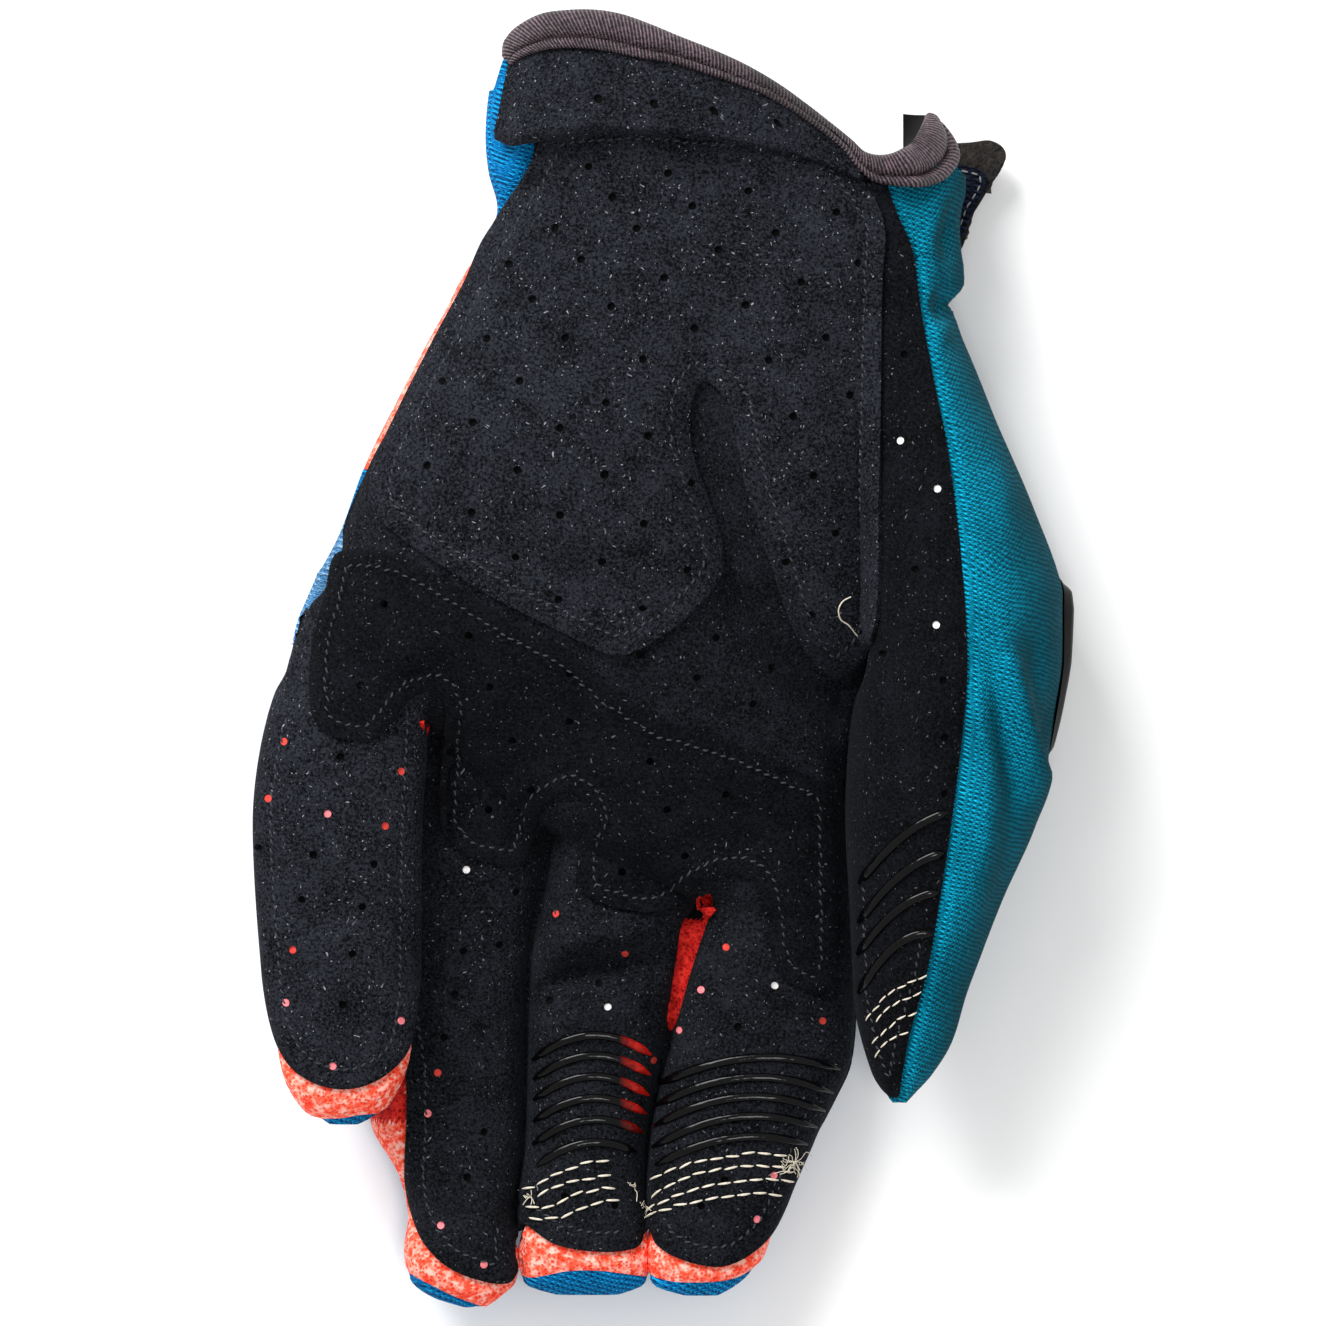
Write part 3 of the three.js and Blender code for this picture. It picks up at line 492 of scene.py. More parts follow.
def microfibre_suede(name, ground, cloud, fleck):
    """Microfibre suede, dyed near black: matt, with a sheen of short pile and pale flecks."""
    material, tree, place = begin_material(name)
    # the pile is fine, about 0.3 mm; it is drawn at 0.5 mm, or it wouldn't show
    grain = add(tree, "TexNoise", {"Vector": place, "Scale": 1 / 0.0005,
                                   "Detail": 4.0, "Roughness": 0.8})
    clouds = add(tree, "TexNoise", {"Vector": place, "Scale": 1 / 0.007,
                                    "Detail": 3.0, "Roughness": 0.6})
    mixed = add(tree, "Math", {0: clouds, 1: 0.22, 2: grain},
                operation="MULTIPLY_ADD")
    shade = add(tree, "ValToRGB", {"Fac": mixed}, stops=[(0.53, ground), (0.71, cloud)])
    # single fibres that catch the light, in short strokes that lie every way
    turned = add(tree, "TexNoise", {"Vector": place, "Scale": 1 / 0.0016, "Detail": 0.0})
    bent = add(tree, "VectorMath", {0: turned.outputs["Color"], 1: (0.0018, 0.0018, 0), 2: place},
               operation="MULTIPLY_ADD")
    specks = add(tree, "TexVoronoi", {"Vector": bent, "Scale": 1 / 0.0008, "Randomness": 1.0})
    near = add(tree, "MapRange", {"Value": specks, "From Min": 0.08, "From Max": 0.2,
                                  "To Min": 1.0, "To Max": 0.0})
    some = add(tree, "SeparateColor", {"Color": specks.outputs["Color"]})
    few = add(tree, "MapRange", {"Value": some, "From Min": 0.45, "From Max": 0.95})
    share = add(tree, "Math", {0: near, 1: few}, operation="MULTIPLY")
    # a Mix node's colours are its sockets 6 and 7, and its result is 2
    coloured = add(tree, "Mix", {0: share, 6: shade, 7: linear(fleck)},
                   data_type="RGBA").outputs[2]
    bump = add(tree, "Bump", {"Strength": 0.9, "Distance": 0.0002, "Height": grain})
    return finish_material(material, {
        "Base Color": coloured, "Roughness": 0.95, "Sheen Weight": 0.03, "Sheen Roughness": 0.4,
        "Sheen Tint": linear("#aab2c4"), "Specular IOR Level": 0.08, "Normal": bump,
    })


# the same suede in three tones, two of them painted shade: a darker copy for the palm's front, and
# a darker one still for the thumb's front and the knuckle patch
suede = microfibre_suede("microfibre_suede", "#020204", "#292b32", "#94979d")
suede_painted_shade = microfibre_suede("microfibre_suede_painted_shade", "#010203", "#1f2127", "#787b82")
suede_painted_deep_shade = microfibre_suede("microfibre_suede_painted_deep_shade", "#010102", "#121419", "#686b70")


def side_edge(name, side, ys, share=SUEDE_OVERHANG):
    """Where the suede ends on one side of a form, seen from above."""
    ys = np.asarray(ys, float)
    middle, half = section(name, ys)[:2]
    return np.column_stack([middle + side * half * share, ys])


def shared_edge(left_name, right_name, ys):
    """The crease where two fingers lie against each other."""
    ys = np.asarray(ys, float)
    left, right = section(left_name, ys), section(right_name, ys)
    return np.column_stack([(left[0] + left[1] + right[0] - right[1]) / 2, ys])


# the fingers lie against each other in two creases; a slot stays open above the second, where
# the red side of the index finger shows
finger_creases = [
    np.vstack([[start], shared_edge(left, right, np.arange(top, low, -5.0)), [end]])
    for start, left, right, top, low, end in (
        ([-19.4, -29.6], "ring", "middle", -34, -96, [-25, -97.6]),
        ([1.3, -64.6], "middle", "index", -68, -95, [-3.1, -97.4]),
    )
]
FINGER_SLOT = [
    [1.2, -63.4], [0.9, -61.6], [1.2, -60], [1.8, -55], [2.6, -50], [3.4, -45], [5.4, -42.4],
    [6.8, -40.4], [7.9, -39.8], [8.4, -41.4], [7.3, -45], [5.6, -50], [4.1, -55], [2.7, -60],
    [1.9, -62.4],
]
LITTLE_JOIN = [[-39.5, -1.4], [-44, 0.4], [-52, -0.9], [-58, 0.6], [-62.7, 1.6]]
PALM_LEFT = [
    [-22, 88], [-23.9, 82.6], [-26.6, 78], [-29.2, 74.2], [-31, 70.8], [-34.6, 62], [-39, 53.3],
    [-43.6, 44.8], [-48.8, 36.8], [-52.2, 29.4], [-54.7, 22.8], [-55, 19], [-56.4, 15.3],
    [-58.1, 12.2], [-60.5, 9.6],
]
PALM_RIGHT = [
    [32, -38], [31.9, -32], [31.9, -22], [32.5, -13], [33.6, -7.4], [34.6, -3], [35.2, 2],
    [35.6, 8], [35.8, 20], [35.8, 40], [35.8, 60], [35.9, 74], [36.8, 79], [38, 83.4], [37, 85.6],
    [33.5, 86.8], [29.5, 89], [23, 93.6], [14.5, 98.8], [6, 103], [0, 105.8], [-7, 108],
    [-15, 108.7], [-19.5, 108], [-23.2, 105.4], [-25.2, 102], [-25.8, 97], [-24.6, 92],
]
palm_outline = np.vstack([
    PALM_LEFT, LITTLE_JOIN[::-1], [[-40.4, -5], [-40.6, -9.4], [-42, -12.4]],
    side_edge("ring", -1, np.arange(-16, -60, -5.0)), FINGERTIP_EDGES["ring"],
    [[-25.1, -101.4], [-25, -98.4]], FINGERTIP_EDGES["middle"],
    [[-3.1, -98]], FINGERTIP_EDGES["index"],
    side_edge("index", 1, np.arange(-85, -42, 5.0), 1.02), PALM_RIGHT,
])


def lay(flat, height, lift):
    """Lays a flat cut on a surface, lifted off it by a distance for each point."""
    x, y = flat[:, 0], flat[:, 1]
    return np.column_stack([x, y, height(x, y)]) + facing(height, x, y) * lift[:, None]


SEAM_INSET = 3.3


def sewn_lift(edge, top, inset=SEAM_INSET):
    """How high a sewn layer's face lies: rounded at its raw edge, drawn down along its seam."""
    return top - 0.16 * np.exp(-edge / 0.25) - 0.3 * np.exp(-(((edge - inset) / 0.8) ** 2))


palm_holes = np.vstack([*PALM_HOLES.values()])
flat, faces, edge, palm_edge = cut_flat(palm_outline, palm_holes, slots=[FINGER_SLOT],
                                        creases=finger_creases)
face = lay(flat, palm_height, sewn_lift(edge, 0.0))
# the palm's front is cut from the suede's darker copy, as painted shade
sew_in("palm_front", *thicken(face, faces), suede_painted_shade, replaces=["palm_panel"], slot="suede")

# ---------------------------------------------------------------------------------------------
# The little finger's front: its own cut of the same suede, sewn to the palm at its root. It lies
# over the ring finger's side.

LITTLE_HOLES = {
    "red": [[-64.7, -13.5], [-44.5, -18.6], [-67.5, -23.2], [-47.2, -27.9], [-63.1, -49]],
    "dark": [
        [-54.9, -16.1], [-59.5, -32.8], [-49.1, -34.4], [-61.5, -40.5], [-51.1, -41.7],
        [-52.8, -49.6], [-54.5, -58.3], [-69, -31.7],
    ],
    "pink": [[-64.3, -58], [-44.4, -61.1], [-56.2, -68.8], [-57.1, -25.8]],
}
LITTLE_FLOOR = 17.0


def little_height(x, y):
    """The height of the little finger's front, and of the hand's side beside it."""
    z = crown("little", x, y) - folds(PALM_FOLDS, x, y)
    z = softer_of(z, crown("hand", x, y) - sunk(x, y), FINGER_BLEND)
    return np.maximum(z, LITTLE_FLOOR)


little_outline = np.vstack([
    [[-60.9, 9.2], [-58, 4.6], [-52, 1.8], [-44, 2.6], [-40, 0.6], [-39.8, -5.5], [-40.2, -10]],
    side_edge("little", 1, np.arange(-15, -60, -5.0)),
    [[-42.9, -65.5], [-45.8, -69.4], [-50.1, -72], [-54.4, -72.8], [-58.6, -72.1], [-62.9, -69.7],
     [-65.6, -66.2], [-67.3, -61.5]],
    side_edge("little", -1, np.arange(-55, -4, 5.0)), [[-64.3, -1.5]],
])
flat, faces, edge, little_edge = cut_flat(little_outline, np.vstack([*LITTLE_HOLES.values()]))
lapped = 0.4 * np.clip((flat[:, 1] + 4) / 4, 0, 1)
face = lay(flat, little_height, sewn_lift(edge, lapped))
sew_in("little_finger_front", *thicken(face, faces), suede, slot="suede")

# ---------------------------------------------------------------------------------------------
# The thumb's front: a long cut of suede from the wrist to the thumb's tip, seamed to the knit on
# its outer side.

THUMB_SEAM = [
    [37.8, 86], [38.2, 81.7], [40, 76.4], [42.6, 70.4], [43.9, 61.9], [46, 49], [48.4, 36.2],
    [50.3, 19.1], [51.5, 2.1], [51.3, -6.5], [49.4, -23.6], [47, -40.7], [44.8, -53.5],
    [41.9, -63.8], [40.6, -71.5], [40.2, -74.6],
]
THUMB_FOLDS = [
    (1.0, 3.0, [[38, 10], [40, 0], [38.5, -12], [36, -24]]),
    (-0.7, 3.0, [[45, 12], [46, -4], [44, -20]]), (0.6, 2.5, [[47, 30], [49, 16], [49.6, 4]]),
]
SEAM_DEPTH = 0.55
THUMB_HOLES = {
    "dark": [
        [41, 52.3], [42.7, 15.7], [37.3, 1.4], [47.4, -3.1], [47.7, -12.8], [47.7, -22.4],
        [47.3, -32.8],
    ],
    "pale": [[40.2, 37.6], [46.5, 29.4], [46.2, 6.3]],
}


def thumb_height(x, y):
    """The height of the thumb's front, joined to the ball of the thumb."""
    z = crown("thumb", x, y) - folds(THUMB_FOLDS, x, y, 0)
    ball = crown("hand", x, y) - sunk(x, y) - 5 * np.maximum(4 - y, 0)
    return softer_of(z, ball, np.interp(y, *THUMB_BLEND))


thumb_outline = np.vstack([
    [[36.4, 84], [36.3, 74], [36.3, 60], [36.3, 40], [36.2, 22], [36, 12], [35.4, 4], [34.4, -2]],
    side_edge("thumb", -1, np.arange(-7, -66, -6.0), 1.015), side_edge("thumb", -1, [-70, -73]),
    [[39.4, -74.6]], THUMB_SEAM[::-1],
])
flat, faces, edge, thumb_edge = cut_flat(thumb_outline, np.vstack([*THUMB_HOLES.values()]))
seam_gap = along_line(THUMB_SEAM, *flat.T)[0]
face = lay(flat, thumb_height, -SEAM_DEPTH * np.exp(-(seam_gap**2)))
# the thumb's front takes the suede's darkest copy, as painted shade
sew_in("thumb_front", *thicken(face, faces), suede_painted_deep_shade, replaces=["thumb_panel"], slot="suede")

# ---------------------------------------------------------------------------------------------
# The heel patch and the knuckle patch: second layers of the suede for wear, with raw edges, sewn
# down 3.3 mm inside them.

HEEL_PATCH = [
    [-19.4, 91], [-4, 92.5], [10, 91.5], [18, 92.5], [23, 92.6], [27.4, 89.8], [31.3, 85.8],
    [34.6, 80.8], [37.1, 76.6], [37.9, 72.6], [37.5, 66], [37.3, 55], [37.3, 44.8], [37.3, 27.7],
    [37.2, 10.6], [35.9, 3.6], [32.4, -0.6], [29.4, -2.2], [26, 0], [23.4, 4.2], [19.1, 15.7],
    [14, 31.1], [11.5, 43.1], [9.2, 46.6], [6.9, 47.8], [5, 44.8], [4.3, 37.9], [7.2, 28.5],
    [9.6, 20.6], [9.6, 15.4], [6.9, 10.9], [2.9, 6.8], [-2.2, 3.2], [-6.5, 1.5], [-9.9, 1.7],
    [-17.6, 5.5], [-27.9, 10.6], [-36.4, 15.7], [-46.4, 22.8], [-49.2, 27], [-49, 32.8],
    [-45.2, 41.4], [-38.8, 54.2], [-33.4, 64.4], [-30.4, 71.2], [-28.3, 74.6], [-26.2, 78.4],
    [-23.4, 83], [-21.4, 87],
]
HEEL_HOLES = [
    [-12.5, 84.4], [0.9, 83.2], [14.5, 80], [-8.5, 79], [5, 77.4], [29.4, 76.4], [-18.1, 73.7],
    [-4.4, 73.5], [19.1, 72.8], [9.4, 69.9], [-13.8, 68.2], [33, 67.7], [-25.8, 67.5], [0.2, 65.1],
    [23.4, 64.4], [-21.9, 61.5], [-8.7, 60.2], [14, 60.5], [5.3, 56.6], [-16.4, 55], [27.5, 55],
    [-29.6, 54.7], [-3.4, 51.2], [17.9, 51.1], [-37.1, 47.5], [-24.1, 47.5], [-9.7, 43.8],
    [31.5, 45.3], [22.1, 41.7], [-32, 40.5], [-17.3, 39.7], [-2.6, 38.3], [-39.7, 33.3],
    [-24.6, 32.6], [-9.9, 31.8], [25.5, 31.8], [4.3, 30.3], [-32.3, 25.5], [-17.4, 25],
    [-3.3, 23.6], [29, 22.1], [-25, 17.9], [-10.3, 17.3], [21, 17.3], [3.9, 15.7], [-17.8, 10.6],
    [-3.4, 9.4], [25.5, 8.5],
]
KNUCKLE_PATCH = [
    [-54.8, 18.4], [-45.8, 18.4], [-38.1, 14.6], [-24.4, 6.4], [-15.9, 2], [-9.1, -4],
    [-0.5, -9.6], [7.2, -12], [17.9, -16.2], [24.8, -19.7], [28.2, -21.6], [29.1, -38], [29, -53],
    [26.8, -56.6], [22.6, -55.4], [19.1, -52.6], [17.4, -41.5], [15.7, -37.3], [12.3, -36.1],
    [8, -36.9], [4.6, -39], [1.2, -42.1], [-3.1, -43.2], [-7.4, -42.4], [-11.6, -40.7],
    [-14.2, -38.6], [-13.7, -30.4], [-12.1, -25.5], [-15, -21.9], [-17.6, -22.4], [-20.2, -24.4],
    [-21.9, -28], [-24.4, -34.4], [-29.6, -34.4], [-34, -33], [-37.3, -29.6], [-38.2, -26.2],
    [-38, -18.5], [-36.8, -8.2], [-37.6, -5.1], [-39.8, -4.4], [-43.2, -6], [-47.5, -11.6],
    [-50.1, -13.3], [-55.2, -13], [-58.8, -10.8], [-60, -6], [-59.4, 3], [-57, 12],
]
PATCH_TOP = 1.15
PATCH_THICKNESS = 1.0


def knuckle_height(x, y):
    """The palm's height, with the little finger's base under the patch's first lobe."""
    z = palm_height(x, y, ("hand", "ring", "middle", "index"))
    return np.where(x < -37, np.maximum(z, little_height(x, y)), z)


patch_edges = {}
knuckle_edge = smooth_line(KNUCKLE_PATCH, OUTLINE_STEP, closed=True)
spots = np.array(PALM_HOLES["dark"])
clear_of_seam = gap_to(knuckle_edge, *spots.T) > 1.9
spots = spots[within(knuckle_edge, *spots.T) & clear_of_seam]
# the knuckle patch takes the suede's darkest copy, as painted shade
for name, outline, holes, height, node, cloth in (
    ("heel_patch_cut", HEEL_PATCH, HEEL_HOLES, palm_height, "heel_patch", suede),
    ("knuckle_patch_cut", KNUCKLE_PATCH, spots, knuckle_height, "knuckle_patch", suede_painted_deep_shade),
):
    flat, faces, edge, patch_edges[node] = cut_flat(outline, holes)
    face = lay(flat, height, sewn_lift(edge, PATCH_TOP))
    sew_in(name, *thicken(face, faces, PATCH_THICKNESS), cloth, replaces=[node], slot="suede")

# ---------------------------------------------------------------------------------------------
# The blue back: a stretch knit from cuff to fingertips, wrapped up round the hand's sides to the
# suede and over the fingers' very ends. It is made with the red sides: each form is drawn as a
# tube, and the tubes are cut where they meet.

LOFT_STEP = 1.1
KNIT_THICKNESS = 0.8
# Where the red ends and the blue starts over each fingertip
BLUE_TIPS = {
    "little": [[-70, -79], [-58.6, -78.3], [-54.4, -77.9], [-50, -77.3], [-40, -77]],
    "ring": [
        [-52, -101], [-44.6, -104.6], [-42.4, -105.6], [-39, -107.3], [-35.6, -109],
        [-32.1, -110.4], [-27, -112.5], [-20, -114],
    ],
    "middle": [
        [-30, -104.6], [-23.1, -105.6], [-20.4, -105.2], [-17.2, -104.5], [-12.8, -104.2],
        [-8.2, -104.6], [-3, -105.4], [4, -106],
    ],
    "index": [
        [-9, -103.5], [-2.1, -105.3], [0.3, -106], [4.5, -106.4], [9.7, -106.2], [13.1, -105.6],
        [16.5, -103.8], [26, -99],
    ],
}
RED_LEVEL = 0.3
UNDER_TAPE = 1.2
CUT_WIDTH = 0.02
PALM_RIM = [
    [-29, 99], [-27.8, 103], [-26.4, 106.6], [-22.7, 109.6], [-17.6, 110.9], [-12.5, 110.9],
    [-7.4, 110.1], [-2.2, 108.4], [3, 106.3], [8, 104.3], [14.9, 101.2], [20, 97.8], [23.4, 95.2],
    [28.6, 91.3], [31.9, 88.8], [34, 86.2], [37, 84.5], [41, 84.5], [45, 86], [49, 86], [52, 84.5],
]
BACK_RIM = [
    [-29, 99], [-25, 100.5], [-18, 98.5], [-5, 92.5], [10, 88], [25, 84], [34, 83], [39.5, 84],
    [43, 86], [47, 88], [50, 87], [52, 84.5],
]


def outline_round(name, count):
    """Points round a section: across it from -1 to 1, and up it from -1 on the floor to 1."""
    upper, lower, _, flat_share = ROUNDING[name]
    turn = np.linspace(0, math.pi, count // 2, endpoint=False)
    c, s = np.cos(turn), np.sin(turn)
    far = (abs(c) ** upper + s**upper) ** (-1 / upper)
    top = np.column_stack([c * far, s * far])
    turn = np.linspace(0, math.pi / 2, count // 6, endpoint=False)
    c, s = np.cos(turn), np.sin(turn)
    far = (c**lower + s**lower) ** (-1 / lower)
    left = np.column_stack([-(flat_share + (1 - flat_share) * c * far), -s * far])
    under = np.linspace(-flat_share, flat_share, max(3, count - count // 2 - 2 * (count // 6)))
    floor = np.column_stack([under, -np.ones(len(under))])
    return np.vstack([top, left, floor, (left * [-1, 1])[:0:-1]])


def strips(rows, size, closed=True, ends=False):
    """Faces between rows of points, round each row where closed, with the two ends filled."""
    first, k = np.arange(rows - 1)[:, None] * size, np.arange(size if closed else size - 1)
    a, b = (first + k).ravel(), (first + (k + 1) % size).ravel()
    faces = [np.column_stack([a, b, b + size]), np.column_stack([a, b + size, a + size])]
    if ends:
        fan = np.array([[0, k + 1, k] for k in range(1, size - 1)])
        faces += [fan, fan[:, ::-1] + (rows - 1) * size]
    return np.vstack(faces)


def tube(name, ys, count):
    """A form drawn as rings of points, its last ring closed over the fingertip."""
    shape = outline_round(name, count)
    middle, half, waist, rise, fall = section(name, ys)
    x = middle[:, None] + half[:, None] * shape[:, 0]
    z = waist[:, None] + np.where(shape[:, 1] > 0, rise[:, None], fall[:, None]) * shape[:, 1]
    points = np.stack([x, np.broadcast_to(np.asarray(ys, float)[:, None], x.shape), z], axis=-1)
    size = len(shape)
    points = points.reshape(-1, 3)
    tip = points[-size:].mean(axis=0) - [0, 0.5, 0]
    last = len(points) - size + np.arange(size)
    cap = np.column_stack([last, np.roll(last, -1), np.full(size, len(points))])
    return np.vstack([points, tip]), np.vstack([strips(len(ys), size), cap])


def beyond(name, p):
    """How far points lie outside a form, in mm, to first order."""
    middle, half, waist, rise, fall = section(name, p[:, 1])
    upper, lower, _, flat_share = ROUNDING[name]
    v = p[:, 2] - waist
    over = v > 0
    n = np.where(over, upper, lower)
    tall = np.maximum(np.where(over, rise, fall), 0.3)
    broad = np.maximum(half * np.where(over, 1, 1 - flat_share), 0.3)
    u = abs(p[:, 0] - middle) / half
    u = np.where(over, u, np.maximum(u - flat_share, 0) / (1 - flat_share)) + 1e-6
    v = abs(v) / tall + 1e-6
    r = (u**n + v**n) ** (1 / n)
    steep = r ** (1 - n) * np.hypot(u ** (n - 1) / broad, v ** (n - 1) / tall)
    away = (r - 1) / np.maximum(steep, 1e-3)
    rows = SECTIONS[name]
    return np.maximum(away, np.maximum(rows[-1][0] - p[:, 1], p[:, 1] - rows[0][0]))


def trim(points, faces, value):
    """Cuts a mesh along the line where value is nothing, and keeps the side where it is more."""
    value = np.where(abs(value) < 1e-3, 1e-3, value)
    keep = value > 0
    inside = keep[faces]
    whole = faces[inside.sum(axis=1) == 3]
    new_faces, cut = [whole], []
    for many in (1, 2):
        part = faces[inside.sum(axis=1) == many]
        odd = np.argmax(keep[part] if many == 1 else ~keep[part], axis=1)
        row = np.arange(len(part))
        a, b, c = part[row, odd], part[row, (odd + 1) % 3], part[row, (odd + 2) % 3]
        cut.append((many, a, b, c))
    pairs = np.vstack([np.column_stack([a, q]) for _, a, b, c in cut for q in (b, c)])
    code = np.sort(pairs, axis=1).astype(np.int64)
    unique, index = np.unique(code[:, 0] * len(points) + code[:, 1], return_inverse=True)
    low, high = unique // len(points), unique % len(points)
    t = (value[low] / (value[low] - value[high]))[:, None]
    fresh = points[low] * (1 - t) + points[high] * t
    index = index.reshape(-1) + len(points)
    at = 0
    for many, a, b, c in cut:
        ab, ac = index[at:at + len(a)], index[at + len(a):at + 2 * len(a)]
        at += 2 * len(a)
        if many == 1:
            new_faces.append(np.column_stack([a, ab, ac]))
        else:
            new_faces += [np.column_stack([ab, b, c]), np.column_stack([ab, c, ac])]
    faces = np.vstack(new_faces)
    points = np.vstack([points, fresh])
    used, faces = np.unique(faces, return_inverse=True)
    return points[used], faces.reshape(-1, 3)


def joined(names, blend, p):
    """How far points lie outside several forms joined with rounded corners."""
    away = beyond(names[0], p)
    for name in names[1:]:
        other = beyond(name, p)
        near = np.maximum(blend - abs(away - other), 0) / blend
        away = np.minimum(away, other) - near * near * blend / 4
    return away


def drawn_to(field, p):
    """Moves points onto the surface where field is nothing."""
    d = 0.15
    for _ in range(3):
        slope = np.column_stack([(field(p + step) - field(p - step)) / (2 * d)
                                 for step in np.eye(3) * d])
        size = np.maximum(np.sum(slope**2, axis=1), 0.05)
        p = p - slope * np.clip(field(p) / size, -3, 3)[:, None]
    return p


# How far below the suede's face cloth counts as covered, and how wide a hem it keeps there
COVER_DEPTH = 2.7
HEM_WIDTH = 2.6
HEM_EASE = 2.2


def suede_cover(p, outline, height, lines=(), slot=None):
    """How far points lie under the suede, from its edge, or clear of it where below nothing."""
    edge = np.vstack([outline] + list(lines))
    edge = np.column_stack([edge, height(edge[:, 0], edge[:, 1])])
    tree = KDTree(len(edge))
    for k, point in enumerate(edge):
        tree.insert(point, k)
    tree.balance()
    near = np.array([tree.find(q)[2] for q in p])
    x, y, z = p.T
    under = within(outline, x, y) & (z > height(x, y) - COVER_DEPTH)
    if slot is not None:
        under &= ~within(slot, x, y)
    return np.where(under, near, -near)


# How far each side's cloth is drawn in below the suede: y, left side, right side
SIDE_ROOM = {
    "little": [[14, 0.9, 0.9], [-65, 1.1, 1.1], [-72, 0, 0]],
    "ring": [
        [2, 0.9, 0.8], [-22, 0.9, 0.9], [-28, 0.9, 2.0], [-34, 0.9, 2.0], [-40, 0.9, 0.9],
        [-70, 0.9, 0.8], [-78, 0, 0.8], [-96, 0, 0.7], [-103, 0, 0],
    ],
    "middle": [
        [-26, 2.0, 0.4], [-34, 2.0, 0.4], [-40, 0.8, 0.5], [-70, 0.8, 0.8], [-92, 0.7, 0.8],
        [-99, 0, 0],
    ],
    "index": [[-30, 0.4, 0.9], [-70, 0.8, 0.9], [-88, 0.8, 1.0], [-97, 0.3, 1.0], [-102, 0, 0]],
    "thumb": [[20, 0.3, 0], [-6, 1.2, 0], [-66, 0.9, 0], [-73, 0, 0]],
    "hand": [[80, 0, 0], [8, 0, 0], [0, 0.6, 1.0], [-40, 0.6, 1.0]],
}


def settle(name, points, faces, cover):
    """Trims the cloth to a hem under the suede, and draws it in beneath the suede's edge."""
    ease = np.clip((cover + HEM_EASE) / HEM_EASE, 0, 1)
    ease = ease * ease * (3 - 2 * ease)
    table = np.array(SIDE_ROOM[name])[::-1]
    left, right = (np.interp(points[:, 1], table[:, 0], table[:, k]) for k in (1, 2))
    middle, half, waist = section(name, points[:, 1])[:3]
    side = np.clip((points[:, 0] - middle) / half, -1, 1)
    room = np.where(side < 0, left, right) * np.clip(abs(side) * 1.6 - 0.6, 0, 1)
    points = points - normals_of(points, faces) * (0.08 + 0.97 * ease + room)[:, None]
    low = np.where(points[:, 2] > waist, sunk(points[:, 0], points[:, 1]), 0)
    points = points - [0, 0, 1] * low[:, None]
    return trim(points, faces, HEM_WIDTH - cover)


def knitted(name, ground, deep, bright, course, wale, turned=None):
    """Warp-knitted polyester: rows of slanting loops, with painted shade of a darker colour where
    they turn aside.
    """
    material, tree, place = begin_material(name)
    split = add(tree, "SeparateXYZ", {0: place})
    warp = add(tree, "TexNoise", {"Vector": place, "Scale": 1 / 0.012, "Detail": 2.0})
    drift = add(tree, "MapRange", {"Value": warp, "To Min": -0.0016, "To Max": 0.0016})
    along = add(tree, "Math", {0: split.outputs[1], 1: drift}, operation="ADD")
    slope = add(tree, "Math", {0: split, 1: 0.35, 2: along}, operation="MULTIPLY_ADD")
    rows = add(tree, "Math", {0: slope, 1: 2 * math.pi / course}, operation="MULTIPLY")
    row = add(tree, "Math", {0: rows}, operation="SINE")
    across = add(tree, "Math", {0: split, 1: split.outputs[2]}, operation="SUBTRACT")
    lean = add(tree, "Math", {0: row, 1: wale * 0.35, 2: across}, operation="MULTIPLY_ADD")
    columns = add(tree, "Math", {0: lean, 1: 2 * math.pi / wale}, operation="MULTIPLY")
    column = add(tree, "Math", {0: columns}, operation="SINE")
    woven = add(tree, "Math", {0: row, 1: column}, operation="ADD")
    uneven = add(tree, "TexNoise", {"Vector": place, "Scale": 1 / 0.0006,
                                    "Detail": 3.0, "Roughness": 0.7})
    loops = add(tree, "Math", {0: uneven, 1: 6.0, 2: woven}, operation="MULTIPLY_ADD")
    crest = add(tree, "MapRange", {"Value": loops, "From Min": 1.0, "From Max": 5.0})
    shade = add(tree, "ValToRGB", {"Fac": crest}, stops=[(0, deep), (1, bright), (0.5, ground)])
    clouds = add(tree, "TexNoise", {"Vector": place, "Scale": 1 / 0.016,
                                    "Detail": 4.0, "Roughness": 0.6})
    tone = add(tree, "MapRange", {"Value": clouds, "From Min": 0.32, "From Max": 0.68,
                                  "To Min": 0.66, "To Max": 1.2})
    toned = add(tree, "VectorMath", {0: shade, "Scale": tone}, operation="SCALE")
    # painted shade: where the cloth faces aside, its colour is mixed towards the darker colour
    if turned:
        lying = add(tree, "SeparateXYZ", {0: add(tree, "NewGeometry").outputs["Normal"]})
        aside = add(tree, "MapRange", {"Value": lying, "From Min": 0.1, "From Max": 0.9,
                                       "To Max": 0.8})
        toned = add(tree, "Mix", {0: aside, 6: toned, 7: linear(turned)},
                    data_type="RGBA").outputs[2]
    bump = add(tree, "Bump", {"Strength": 0.8, "Distance": 0.00025, "Height": loops})
    return finish_material(material, {
        "Base Color": toned, "Roughness": 0.8, "Specular IOR Level": 0.06, "Normal": bump,
    })


